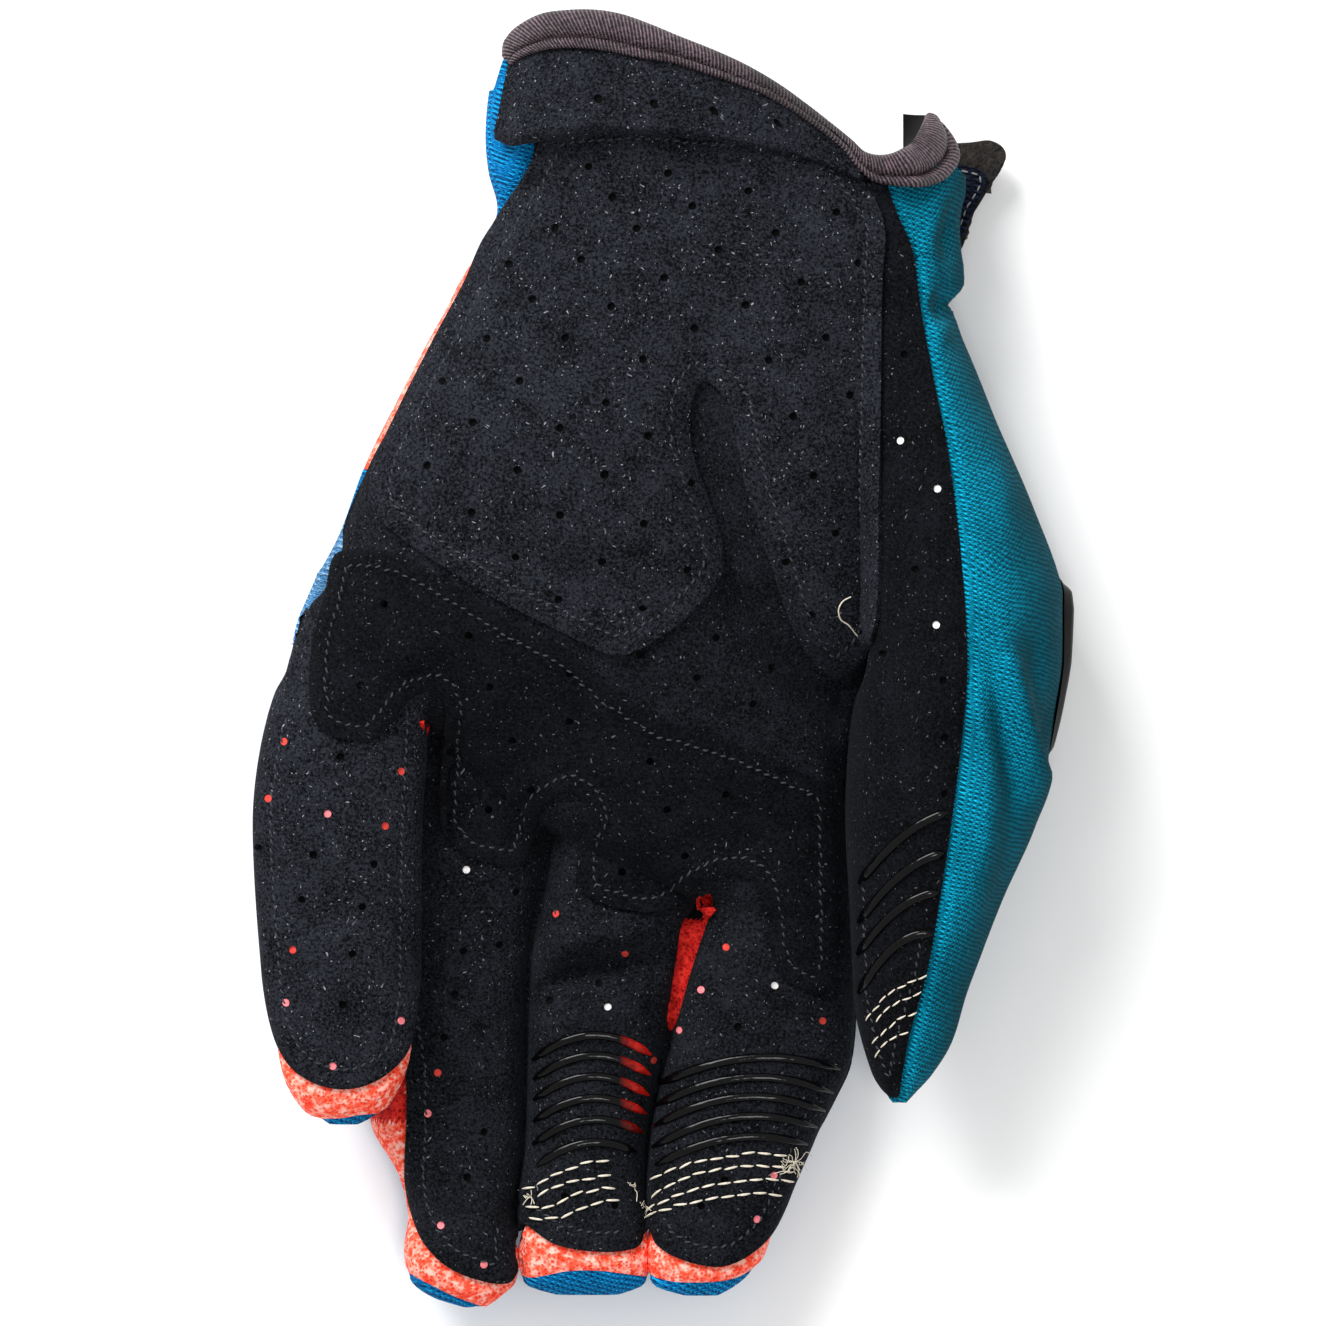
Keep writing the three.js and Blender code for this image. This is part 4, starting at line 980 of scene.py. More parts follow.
def spacer_mesh(name, ground, deep, bright):
    """Open polyester spacer mesh: small pores between bright, uneven threads."""
    material, tree, place = begin_material(name)
    pores = add(tree, "TexVoronoi", {"Vector": place, "Scale": 1 / 0.0007, "Randomness": 0.8})
    pore = add(tree, "MapRange", {"Value": pores, "From Min": 0.12, "From Max": 0.5})
    clouds = add(tree, "TexNoise", {"Vector": place, "Scale": 1 / 0.0015,
                                    "Detail": 5.0, "Roughness": 0.68})
    mixed = add(tree, "Math", {0: pore, 1: 0.14, 2: clouds}, operation="MULTIPLY_ADD")
    stops = [(0.44, deep), (0.74, bright), (0.59, ground)]
    shade = add(tree, "ValToRGB", {"Fac": mixed}, stops)
    bump = add(tree, "Bump", {"Strength": 0.8, "Distance": 0.0003, "Height": pore})
    return finish_material(material, {
        "Base Color": shade, "Roughness": 0.75, "Specular IOR Level": 0.2, "Normal": bump,
    })


# the loops are about 0.6 mm; they are drawn nearer 1 mm, or they wouldn't show
knit_blue = knitted("warp_knit_blue", "#0070b4", "#003866", "#18acea", 0.0009, 0.0010)
mesh_red = spacer_mesh("spacer_mesh_red", "#ff5a3e", "#fb3418", "#ffb8a8")
# a darker copy of the red mesh, as painted shade between the fingers
mesh_shaded = spacer_mesh("spacer_mesh_red_painted_shade", "#c01410", "#8a0a08", "#e02c20")
# the teal's last colour is painted shade on the sides that turn aside
knit_teal = knitted("warp_knit_teal", "#007a98", "#003c50", "#10c2ea", 0.0008, 0.0009, "#04383e")

inner_lines = [smooth_line(line, OUTLINE_STEP) for line in finger_creases]
finger_slot = smooth_line(FINGER_SLOT, OUTLINE_STEP, closed=True)
inner_lines.append(finger_slot)
FINGERS = ("little", "ring", "middle", "index")
ROOTS = {"little": -10, "ring": -14, "middle": -42, "index": -42}
blue_parts, red_parts = [], {}


def past_tip(name, p):
    """How far points lie short of the blue tip, and above the blue back's hem."""
    tip = p[:, 1] - np.interp(p[:, 0], *smooth_line(BLUE_TIPS[name], 0.5).T)
    _, _, waist, rise, fall = section(name, p[:, 1])
    return np.minimum(tip, p[:, 2] - (waist - fall + (rise + fall) * RED_LEVEL))


def form_rows(top, tip, tip_length):
    """Where a form's rings are drawn: evenly along it, and closer over its tip."""
    near = tip + tip_length
    return np.r_[np.arange(top, near, -LOFT_STEP), np.linspace(near, tip, 14)]


for name in FINGERS:
    points, faces = tube(name, form_rows(SECTIONS[name][0][0], SECTIONS[name][-1][0], 9), 84)
    points = drawn_to(lambda p: joined([name, "hand"], FINGER_BLEND, p), points)
    points, faces = trim(points, faces, beyond("hand", points) - beyond(name, points))
    cover = suede_cover(points, palm_edge, palm_height, inner_lines, finger_slot)
    if name == "little":
        cover = np.where(points[:, 1] > -7, cover, -99)
        cover = np.maximum(cover, suede_cover(points, little_edge, little_height))
    points, faces = settle(name, points, faces, cover)
    if name == "little":
        # only a sliver shows in the crotch beside the ring finger
        points, faces = trim(points, faces, -np.minimum(points[:, 0] + 40.7, points[:, 1] + 17))
    # the finger's root ends below the palm's suede
    low = section(name, points[:, 1])[2] + 1 - points[:, 2]
    points, faces = trim(points, faces, np.maximum(ROOTS[name] - points[:, 1], low))
    split = past_tip(name, points)
    points = points - normals_of(points, faces) * (0.35 * np.exp(-((split / 0.5) ** 2)))[:, None]
    red_parts[name] = thicken(*trim(points, faces, split), KNIT_THICKNESS)
    blue_parts.append(thicken(*trim(points, faces, -split - CUT_WIDTH), KNIT_THICKNESS))

hand_ys = np.r_[np.arange(113, -43, -LOFT_STEP), -43]
points, faces = tube("hand", hand_ys, 190)
points, faces = points[:-1], faces[(faces < len(points) - 1).all(axis=1)]
points = drawn_to(lambda p: joined(["hand", *FINGERS], FINGER_BLEND, p), points)
for name in FINGERS + ("thumb",):
    points, faces = trim(points, faces, beyond(name, points) - beyond("hand", points))
x, y, z = points.T
rim = np.where(z > 15, np.interp(x, *np.array(PALM_RIM).T), np.interp(x, *np.array(BACK_RIM).T))
points, faces = trim(points, faces, rim - UNDER_TAPE - y)
cover = suede_cover(points, palm_edge, palm_height, inner_lines, finger_slot)
cover = np.maximum(cover, suede_cover(points, little_edge, little_height))
cover = np.maximum(cover, suede_cover(points, thumb_edge, thumb_height))
points, faces = settle("hand", points, faces, cover)


def least(*values):
    """The least of several values at each point."""
    return np.minimum.reduce(values)


def parted(points, faces, rule):
    """A cloth's parts inside and outside a rule of x, y and z, a cut's width apart."""
    value = rule(*points.T)
    return trim(points, faces, value), trim(points, faces, -value - CUT_WIDTH)


# no cloth lies in the valley between the palm and the thumb
x, y, z = points.T
points, faces = trim(points, faces, -least(x - 30.2, 37.2 - x, z - np.where(y < 12, 6, 14)))
teal_wrist, cloth = parted(points, faces, lambda x, y, z: least(x - 37.6, y - 20))
red_palm, cloth = parted(*cloth, lambda x, y, z: least(-20 - x, y - 33, 69 - y, z - 14))
pale_palm, blue_hand = parted(*cloth, lambda x, y, z: least(-20 - x, 24 - y, z - 14))
red_palm, pale_palm = (thicken(*part, KNIT_THICKNESS) for part in (red_palm, pale_palm))
blue_parts.append(thicken(*blue_hand, KNIT_THICKNESS))


def one_mesh(parts):
    """Several meshes' points and faces as one."""
    starts = np.cumsum([0] + [len(p) for p, _ in parts])
    faces = [f + start for (_, f), start in zip(parts, starts)]
    return np.vstack([p for p, _ in parts]), np.vstack(faces)


sew_in("back_and_tips", *one_mesh(blue_parts), knit_blue, replaces=["back_panel"],
       slot="knit_blue")

# ---------------------------------------------------------------------------------------------
# The red finger sides: open spacer mesh between the suede front and the blue back, and round the
# fingertips.

def plain(name, colour, roughness):
    """A plain matt thread or backing, a little uneven in tone."""
    material, tree, place = begin_material(name)
    noise = add(tree, "TexNoise", {"Vector": place, "Scale": 1 / 0.0006, "Detail": 2.0})
    tone = add(tree, "MapRange", {"Value": noise, "From Min": 0.3, "From Max": 0.7,
                                  "To Min": 0.75, "To Max": 1.15})
    toned = add(tree, "VectorMath", {0: linear(colour)[:3], "Scale": tone}, operation="SCALE")
    return finish_material(material, {
        "Base Color": toned, "Roughness": roughness, "Specular IOR Level": 0.12,
    })


# a black sheet that paints shade: in the holes' depths and past the gusset's tuck
painted_shade_black = plain("black_painted_shade", "#050506", 1.0)
# Where the red mesh takes its darker copy as painted shade, between the fingers and in the little
# finger's shadow on the ring finger: the range of x, the least y, and the finger, where it is only
# one
SHADED_MESH = [(-1, 10, -67, ""), (-43, -36, -17, ""), (-99, -44, -79, "ring")]
for name in FINGERS:
    points, faces = red_parts[name]
    side = sew_in(f"{name}_side", points, faces, mesh_red, replaces=[f"{name}_gusset"],
                  slot="mesh_red")
    side.data.materials.append(mesh_shaded)
    x, y, _ = points[faces].mean(axis=1).T
    between = [(x > left) & (x < right) & (y > low) & (only in ("", name))
               for left, right, low, only in SHADED_MESH]
    side.data.polygons.foreach_set("material_index", np.any(between, axis=0).astype(int))

# the gusset that joins the middle and index fingers' sides, below the slot in the suede; it is
# drawn in the red mesh's darker copy as painted shade, and past its tuck in black, as painted full
# shade
GUSSET_LEFT = ([-64, -60, -55, -50, -45, -42.4, -40.4], [0.9, 1.2, 1.8, 2.6, 3.4, 5.4, 6.8])
GUSSET_RIGHT = ([-64, -60, -55, -50, -45, -41.4, -39.8], [1.7, 2.7, 4.1, 5.6, 7.3, 8.4, 8.0])
GUSSET_TUCK = -44.2
GUSSET_LAP = 1.4
GUSSET_DEPTH = 1.5
ys, across = np.linspace(-66, -38.5, 56), np.linspace(0, 1, 9)
left, right = np.interp(ys, *GUSSET_LEFT), np.interp(ys, *GUSSET_RIGHT)
left_z, right_z = palm_height(left - 0.5, ys)[:, None], palm_height(right + 0.5, ys)[:, None]
x = left[:, None] - GUSSET_LAP + (right - left + 2 * GUSSET_LAP)[:, None] * across
z = left_z * (1 - across) + right_z * across - GUSSET_DEPTH - 1.4 * np.sin(across * math.pi)
z = z - 0.8 * np.exp(-(((ys - GUSSET_TUCK) / 0.7) ** 2))[:, None]
points = np.stack([x, np.broadcast_to(ys[:, None], x.shape), z], axis=-1).reshape(-1, 3)
points, faces = thicken(points, strips(len(ys), len(across), closed=False), KNIT_THICKNESS)
gusset = sew_in("finger_gusset", points, faces, mesh_shaded, slot="mesh_red")
gusset.data.materials.append(painted_shade_black)
x, y, _ = points[faces].mean(axis=1).T
gusset.data.polygons.foreach_set("material_index", ((y > GUSSET_TUCK) & (x < 7)).astype(int))
sew_in("palm_side_red", *red_palm, mesh_red, slot="mesh_red")
knit_sky = knitted("warp_knit_sky_blue", "#4a86b8", "#2c5f92", "#9fc6e4", 0.0011, 0.0013)
sew_in("palm_side_blue", *pale_palm, knit_sky, slot="knit_blue")

# ---------------------------------------------------------------------------------------------
# The teal knit: a stretch warp knit for the thumb's outer side and back, sewn to the suede and
# running up beside it to the wrist. It gathers in soft folds.

KNIT_FOLDS = [
    (-1.7, 2.0, [[57.5, 6], [59.1, -1], [61.6, -10], [64.3, -19], [64, -27]]),
    (1.9, 2.3, [[62.5, 8], [64.5, -2], [66.4, -12], [66.8, -20]]),
    (1.5, 2.0, [[55.5, 2], [57.5, -10], [60, -22], [58.6, -36]]),
    (-1.1, 2.2, [[53.6, -4], [55, -18], [54.8, -30], [51.5, -44]]),
    (1.0, 1.8, [[61.5, -26], [58, -38], [53, -50]]), (-0.7, 3.0, [[56, 44], [58, 30], [58, 16]]),
    (2.2, 2.4, [[53, 79.5], [50.5, 76], [49, 72], [49.6, 68]]),
    (-1.2, 2.0, [[49.4, 82], [46.6, 76], [45.6, 70], [47, 64]]),
    (2.6, 2.0, [[51, 60.2], [48.5, 60.8], [45.6, 62.5]]),
    (-1.0, 2.0, [[50, 56], [47.5, 56], [45.6, 58]]),
]
points, faces = tube("thumb", form_rows(88, -75.3, 9.3), 120)
points = drawn_to(lambda p: joined(["thumb", "hand"], 5.0, p), points)
points, faces = trim(points, faces, beyond("hand", points) - beyond("thumb", points))
cover = suede_cover(points, thumb_edge, thumb_height)
cover = np.maximum(cover, suede_cover(points, palm_edge, palm_height))
points, faces = settle("thumb", points, faces, cover)
in_valley = np.minimum(36.4 - points[:, 0], np.minimum(points[:, 2] - 16, points[:, 1] + 22))
points, faces = trim(points, faces, -in_valley)


def wrinkled(points, faces):
    """Draws the knit into the folds of the thumb's outer side and the wrist."""
    x, y, z = points.T
    above = np.clip((z - np.where(y > 52, 10, 19)) / 6, 0, 1)
    return points - normals_of(points, faces) * (folds(KNIT_FOLDS, x, y, 0) * above)[:, None]


teal = [thicken(wrinkled(p, f), f, KNIT_THICKNESS) for p, f in ((points, faces), teal_wrist)]
sew_in("thumb_knit", *one_mesh(teal), knit_teal, replaces=["thumb_back"], slot="knit_teal")

# ---------------------------------------------------------------------------------------------
# The cuff's flap: the suede rolls forward over the heel below the binding, and turns under in a
# round fold that throws a shadow. It flattens towards the thumb.

# Places along the flap: its upper edge x, y, the fold's outermost line x, y, and the fold's radius
FLAP = [
    [-26.2, 102.4, -28.2, 89.6, 1.7], [-24.4, 103.8, -25.4, 88.4, 1.9],
    [-21, 105.6, -20.9, 89, 2.0], [-14.2, 106.4, -13.6, 89.9, 2.0], [-7, 105.6, -5.6, 90.2, 1.95],
    [0, 103.8, 1.2, 89.9, 1.8], [6, 102, 8, 89.2, 1.5], [12, 99.9, 14.9, 88.2, 1.2],
    [18, 97.1, 20.9, 86.9, 0.95], [24, 93.8, 26, 85.3, 0.75], [29, 90.4, 30, 83.6, 0.6],
    [33, 86.8, 33.6, 81.6, 0.5],
]
FLAP_LIFT = 1.25
FLAP_HOLES = [[-11.4, 10.2], [-2.3, 9.3], [7.4, 7.6], [18, 5.4]]


def flap_place(flat):
    """Bends the flap's flat cut, x along it and y down it, over the cuff and under itself."""
    along, down = flat[:, 0], -flat[:, 1]
    places = np.array(FLAP).T
    top_x, top_y, low_x, low_y, radius = (np.interp(along, places[0], row) for row in places)
    fall = np.hypot(low_x - top_x, low_y - top_y)
    bend = fall - radius
    turn = np.clip((down - bend) / radius, 0, math.pi)
    past = np.maximum(down - bend - math.pi * radius, 0)
    rising = np.clip(down / bend, 0, 1)
    far = np.where(down < bend, down, bend + radius * np.sin(turn) - past)
    high = np.where(down < bend, FLAP_LIFT + 2 * radius * rising**1.6,
                    FLAP_LIFT + radius + radius * np.cos(turn))
    x = top_x + (low_x - top_x) * far / fall
    y = top_y + (low_y - top_y) * far / fall
    ripple = 0.35 * np.sin(x / 4.6 + 1) * rising * (turn < 2.5)
    inner = np.maximum(x, -23.5)
    out = facing(palm_height, inner, y) * [0.35, 1, 1]
    base = np.column_stack([x, y, palm_height(inner, y) - 0.9 * np.maximum(inner - x, 0)])
    return base + out * (high + ripple)[:, None]


top_x, top_y, low_x, low_y, radius = np.array(FLAP).T
flap_length = np.hypot(low_x - top_x, low_y - top_y) - radius + math.pi * radius + 1.5
bottom = np.column_stack([top_x, -flap_length])
top = np.column_stack([top_x, np.zeros(len(top_x))])
sides = [np.linspace(top[k], bottom[k], 12)[1:-1] for k in (0, -1)]
flap_cut = np.vstack([top[::-1], sides[0], bottom, sides[1][::-1]])
flat, faces, edge, _ = cut_flat(flap_cut, [[x, -y] for x, y in FLAP_HOLES], step=0.7)
sew_in("cuff_flap", *thicken(flap_place(flat), faces), suede, slot="suede")

# ---------------------------------------------------------------------------------------------
# What shows through the punched holes: small discs just below the suede, black as painted shade,
# or of the red mesh and of the pale ground.

hole_backing = {
    "dark": painted_shade_black,
    "red": plain("polyester_mesh_red", "#d8453c", 0.8),
    "pink": plain("polyester_mesh_pink", "#f4838a", 0.8),
    "pale": plain("polyester_mesh_white", "#f3f1f0", 0.8),
}
BACKING_RADIUS = 0.66
turn = np.arange(HOLE_SIDES) * 2 * math.pi / HOLE_SIDES
disc = np.vstack([[0, 0], np.column_stack([np.cos(turn), np.sin(turn)]) * BACKING_RADIUS])
disc_faces = np.array([[0, k + 1, (k + 1) % HOLE_SIDES + 1] for k in range(HOLE_SIDES)])
punched = [
    (palm_height, 0, PALM_HOLES), (little_height, 0, LITTLE_HOLES), (thumb_height, 0, THUMB_HOLES),
    (palm_height, PATCH_TOP, {"dark": HEEL_HOLES}),
]
for colour, material in hole_backing.items():
    depth = 0.7 if colour == "dark" else 0.3
    parts = [(lay(disc + hole, height, np.full(len(disc), top - depth)), disc_faces)
             for height, top, holes in punched for hole in holes.get(colour, [])]
    if colour == "dark":
        parts += [(flap_place(disc + [x, -y]) - [0, 0, 0.6], disc_faces) for x, y in FLAP_HOLES]
    sew_in(f"holes_{colour}", *one_mesh(parts), material)

# ---------------------------------------------------------------------------------------------
# The lockstitched seams of the patches and the fingers' fronts: black polyester thread, about 16
# stitches an inch, each rising from one hole of the needle and diving into the next.


def offset_runs(outline, inset, skip=None):
    """The line a distance inside a cut's edge, in one or more runs."""
    line = outline + inward(outline) * inset
    good = gap_to(outline, *line.T) > inset * 0.96
    if skip:
        good &= ~skip(*line.T)
    runs, run = [], []
    for point, ok in zip(line, good):
        if ok and (not run or np.linalg.norm(point - run[-1]) < 2.2):
            run.append(point)
        elif ok or run:
            runs.append(run)
            run = [point] if ok else []
    runs.append(run)
    return [np.array(r) for r in runs if len(r) > 5]


# A seam stitch's length, how far apart stitches start, and the thread's radius
SEAM_STITCH = (1.15, 1.6, 0.18)
STITCH_RINGS = 7
THREAD_SIDES = 6


def stitched(runs, height, lift, length, pitch, radius, seed, stray=0.0, slant=0.0):
    """Thread stitches laid along lines on a surface."""
    chance = np.random.default_rng(seed)
    spots, ways = [], []
    for run in runs:
        far = length_along(run)
        marks = np.arange(length / 2, far[-1] - length / 2, pitch)
        sooner, at, later = (np.column_stack([np.interp(marks + d, far, way) for way in run.T])
                             for d in (-0.5, 0, 0.5))
        spots.append(at)
        ways.append(later - sooner)
    spots, ways = np.vstack(spots), unit(np.vstack(ways))
    aside = left_of(ways)
    spots = spots + aside * chance.normal(0, 0.06 + stray, len(spots))[:, None]
    ways = ways + aside * (slant + chance.normal(0, 0.05 + stray, len(spots)))[:, None]
    across = np.linspace(-0.5, 0.5, STITCH_RINGS)
    arch = np.cos(across * math.pi) ** 0.7
    flat = (spots[:, None] + ways[:, None] * (across * length)[:, None]).reshape(-1, 2)
    shape = (len(spots), STITCH_RINGS, 3)
    up = facing(height, *flat.T).reshape(shape)
    base = np.column_stack([flat, height(*flat.T)]).reshape(shape)
    base = base + up * (lift - radius + arch * radius * 1.5)[:, None]
    beside = unit(np.cross(up, unit(np.gradient(base, axis=1))))
    turn = np.arange(THREAD_SIDES) * 2 * math.pi / THREAD_SIDES
    thick = radius * (0.45 + 0.55 * arch)
    ring = up[:, :, None] * np.sin(turn)[:, None] + beside[:, :, None] * np.cos(turn)[:, None]
    points = base[:, :, None] + ring * thick[:, None, None]
    starts = np.arange(len(spots))[:, None, None] * STITCH_RINGS * THREAD_SIDES
    faces = strips(STITCH_RINGS, THREAD_SIDES, ends=True) + starts
    return points.reshape(-1, 3), faces.reshape(-1, 3)


thread_black = plain("spun_thread_black", "#3a3b40", 0.6)
heel_edge, knuckle_edge = patch_edges["heel_patch"], patch_edges["knuckle_patch"]
seams = [
    (offset_runs(heel_edge, SEAM_INSET, lambda x, y: y > 89.5), palm_height, PATCH_TOP - 0.28),
    (offset_runs(knuckle_edge, 2.6), knuckle_height, PATCH_TOP - 0.2),
    (offset_runs(palm_edge, 3.4, lambda x, y: (y > -24) | (x > 26)), palm_height, -0.25),
    ([finger_creases[0][1:-1] - [3.4, 0], finger_creases[0][2:-1] + [3.0, 0],
      finger_creases[1][1:-1] - [2.6, 0], finger_creases[1][1:-1] + [3.2, 0],
      np.array([[-0.6, -62], [0.4, -55], [1.6, -48], [2.6, -43.5]]),
      np.array([[4.4, -62], [6, -54], [8.4, -46], [9.4, -42.5]])], palm_height, -0.25),
    (offset_runs(little_edge, 3.4, lambda x, y: y > -8), little_height, -0.25),
    (offset_runs(thumb_edge, 2.2, lambda x, y: (y > -36) | (x > 44)), thumb_height, -0.1),
]
parts = [stitched(runs, height, lift, *SEAM_STITCH, 7 + k, 0.06, 0.35)
         for k, (runs, height, lift) in enumerate(seams)]
sew_in("black_seams", *one_mesh(parts), thread_black)

# ---------------------------------------------------------------------------------------------
# The grip stripes: beads of black silicone printed across the middle finger, the index finger and
# the thumb, glossy enough to catch the lamps.

GRIP_STRIPES = {
    "middle": [
        [-22.3, -68.3, -14.4, -64.2, -2.1, -67.4], [-22.1, -71.6, -14, -67.6, -2.3, -70.8],
        [-22.1, -75.1, -13.8, -71.1, -2.6, -74.3], [-22.1, -78.8, -13.6, -74.8, -3, -77.5],
        [-22.2, -82.7, -13.2, -78.4, -3.6, -80.7], [-21.6, -86.4, -13, -82.3, -4.8, -84],
    ],
    "index": [
        [-0.9, -72.6, 16, -67.7, 30.2, -69.8], [-1.3, -76.2, 14, -71.1, 29, -73.8],
        [-1.5, -79.6, 14, -74.4, 27.6, -76.9], [-1.7, -83.2, 14, -77.7, 26.2, -79.7],
        [-1.2, -86.2, 14, -81.2, 24.6, -82.6],
    ],
    "thumb": [
        [33.4, -37.6, 38.8, -31.3, 48.2, -25.4], [33.3, -44.4, 38.8, -37.6, 47.5, -32.3],
        [33.2, -49.8, 38.8, -43, 46.7, -39], [33.4, -56.4, 38.2, -49.4, 45.7, -46.2],
    ],
}
GRIP_WIDTH = 1.5
GRIP_HEIGHT = 0.62


def stripe_line(x0, y0, x1, y1, x2, y2, count=40):
    """An even curve through three points, each x, y."""
    x = np.linspace(x0, x2, count)
    y = y0 * (x - x1) * (x - x2) / ((x0 - x1) * (x0 - x2))
    y += y1 * (x - x0) * (x - x2) / ((x1 - x0) * (x1 - x2))
    y += y2 * (x - x0) * (x - x1) / ((x2 - x0) * (x2 - x1))
    return np.column_stack([x, y])


def bead(line, width, tall, height, lift):
    """A rounded bead along a line on a surface, narrowing at its ends."""
    aside = left_of(unit(np.gradient(line, axis=0)))
    far = np.linspace(0, 1, len(line))
    narrow = np.clip(np.minimum(far, 1 - far) / 0.09, 0.12, 1) ** 0.6
    across = np.array([-1, -0.93, -0.7, -0.35, 0, 0.35, 0.7, 0.93, 1, 0.5, -0.5])
    rise = np.array([-0.15, 0.45, 0.82, 0.97, 1, 0.97, 0.82, 0.45, -0.15, -0.2, -0.2])
    flat = line[:, None] + aside[:, None] * (across * width / 2)[:, None] * narrow[:, None, None]
    up = (rise * tall * np.sqrt(narrow)[:, None]).ravel() + lift
    faces = strips(len(line), len(across), ends=True)[:, ::-1]
    return lay(flat.reshape(-1, 2), height, up), faces


silicone, tree, place = begin_material("printed_silicone_black")
ripple = add(tree, "TexNoise", {"Vector": place, "Scale": 1 / 0.0035, "Detail": 2.0})
bump = add(tree, "Bump", {"Strength": 0.5, "Distance": 0.0004, "Height": ripple})
dust = add(tree, "TexNoise", {"Vector": place, "Scale": 1 / 0.0007, "Detail": 1.0})
worn = add(tree, "MapRange", {"Value": dust, "From Min": 0.4, "From Max": 0.75,
                              "To Min": 0.08, "To Max": 0.22})
# painted reflection: the middle finger's stripes are tinted with the red of the finger beside them
split = add(tree, "SeparateXYZ", {0: place})
beside = add(tree, "MapRange", {"Value": split, "From Min": -0.0075, "From Max": -0.0045})
above = add(tree, "MapRange", {"Value": split.outputs[1], "From Min": -0.082, "From Max": -0.076})
short = add(tree, "MapRange", {"Value": split, "From Min": -0.0024, "From Max": -0.0014,
                               "To Min": 1.0, "To Max": 0.0})
share = add(tree, "Math", {0: beside, 1: above}, operation="MULTIPLY")
share = add(tree, "Math", {0: share, 1: short}, operation="MULTIPLY")
share = add(tree, "Math", {0: share, 1: dust}, operation="MULTIPLY")
painted_red_reflection = add(tree, "Mix", {0: share, 6: linear("#040405"), 7: linear("#e02418")},
           data_type="RGBA").outputs[2]
finish_material(silicone, {
    "Base Color": painted_red_reflection, "Roughness": worn, "Specular IOR Level": 0.2, "Normal": bump,
})
for name, stripes in GRIP_STRIPES.items():
    height = thumb_height if name == "thumb" else palm_height
    for k, stripe in enumerate(stripes, 1):
        points, faces = bead(stripe_line(*stripe), GRIP_WIDTH, GRIP_HEIGHT, height, 0.04)
        sew_in(f"{name}_stripe_{k}", points, faces, silicone, replaces=[f"{name}_grip_{k}"],
               slot="silicone")

# ---------------------------------------------------------------------------------------------
# The white stitch rows: thick undyed conductive thread in four rows on the index and middle
# fingertips and in four short arcs on the thumb, its ends left in small tufts.

WHITE_ROWS = {
    "middle": [
        [
            [-24.2, -90.5], [-21.9, -89.7], [-18.8, -88], [-15.9, -86.7], [-12.5, -85.6],
            [-7.4, -85.5],
        ],
        [[-21.5, -91.6], [-19.3, -90.3], [-15.9, -89.1], [-11.3, -88.2], [-7.4, -88]],
        [
            [-23.6, -93.4], [-20.9, -93.5], [-17.6, -92.5], [-15, -91.1], [-12.3, -90.4],
            [-6.2, -89.9],
        ],
        [[-23, -95.4], [-17.3, -94.9], [-15, -93.9], [-12.5, -93], [-9.7, -92.3], [-6.5, -92]],
    ],
    "index": [
        [
            [-2.2, -88.9], [1.4, -87], [4.8, -85.8], [8.2, -85.1], [11.5, -84.4], [15.6, -84.1],
            [21.9, -84.3],
        ],
        [[-2.2, -91.6], [1.4, -89.4], [6.3, -87.5], [11.5, -86.5], [16.6, -86.2], [21, -86.5]],
        [
            [-3.2, -94.5], [-1.4, -93], [2.1, -91.5], [6.3, -89.9], [12.1, -88.9], [17.4, -88.5],
            [22.6, -89.2],
        ],
        [
            [-3, -95.6], [-1.4, -94.3], [2.9, -93.1], [8, -91.9], [12.3, -91.2], [16.6, -90.9],
            [20.6, -91.2],
        ],
    ],
    "thumb": [
        [[44.8, -53.2], [41.4, -54.7], [38.8, -56.1], [37.1, -57.8], [35.4, -59.8], [34.4, -61.4]],
        [[43.9, -56.1], [41.2, -57.1], [39.3, -58.2], [37.2, -60], [36.2, -61.6]],
        [[43.1, -59.5], [40.5, -60.6], [38.5, -62.1], [36.6, -63.9], [35.6, -65.4]],
        [[41.7, -62.9], [39.3, -63.8], [37.6, -65.2], [36.1, -67.4], [35.2, -68.6]],
    ],
}
thread_white = plain("spun_thread_undyed", "#ddd4c2", 0.75)
for k, (name, rows) in enumerate(WHITE_ROWS.items()):
    height = thumb_height if name == "thumb" else palm_height
    size = (1.6, 1.95, 0.15) if name == "thumb" else (2.3, 2.75, 0.2)
    runs = [smooth_line(row, 0.4) for row in rows]
    sew_in(f"{name}_white_rows", *stitched(runs, height, 0.12, *size, 31 + k, 0.04), thread_white)


def strand(line, radius):
    """A loose thread through points in space."""
    line = smooth_line(line, 0.35)
    along = unit(np.gradient(line, axis=0))
    up = unit(np.cross(along, [0.3, 0.2, 1.0]))
    beside = np.cross(along, up)
    turn = np.arange(THREAD_SIDES) * 2 * math.pi / THREAD_SIDES
    ring = up[:, None] * np.sin(turn)[:, None] + beside[:, None] * np.cos(turn)[:, None]
    points = (line[:, None] + ring * radius).reshape(-1, 3)
    return points, strips(len(line), THREAD_SIDES, ends=True)


chance = np.random.default_rng(5)
tufts = []
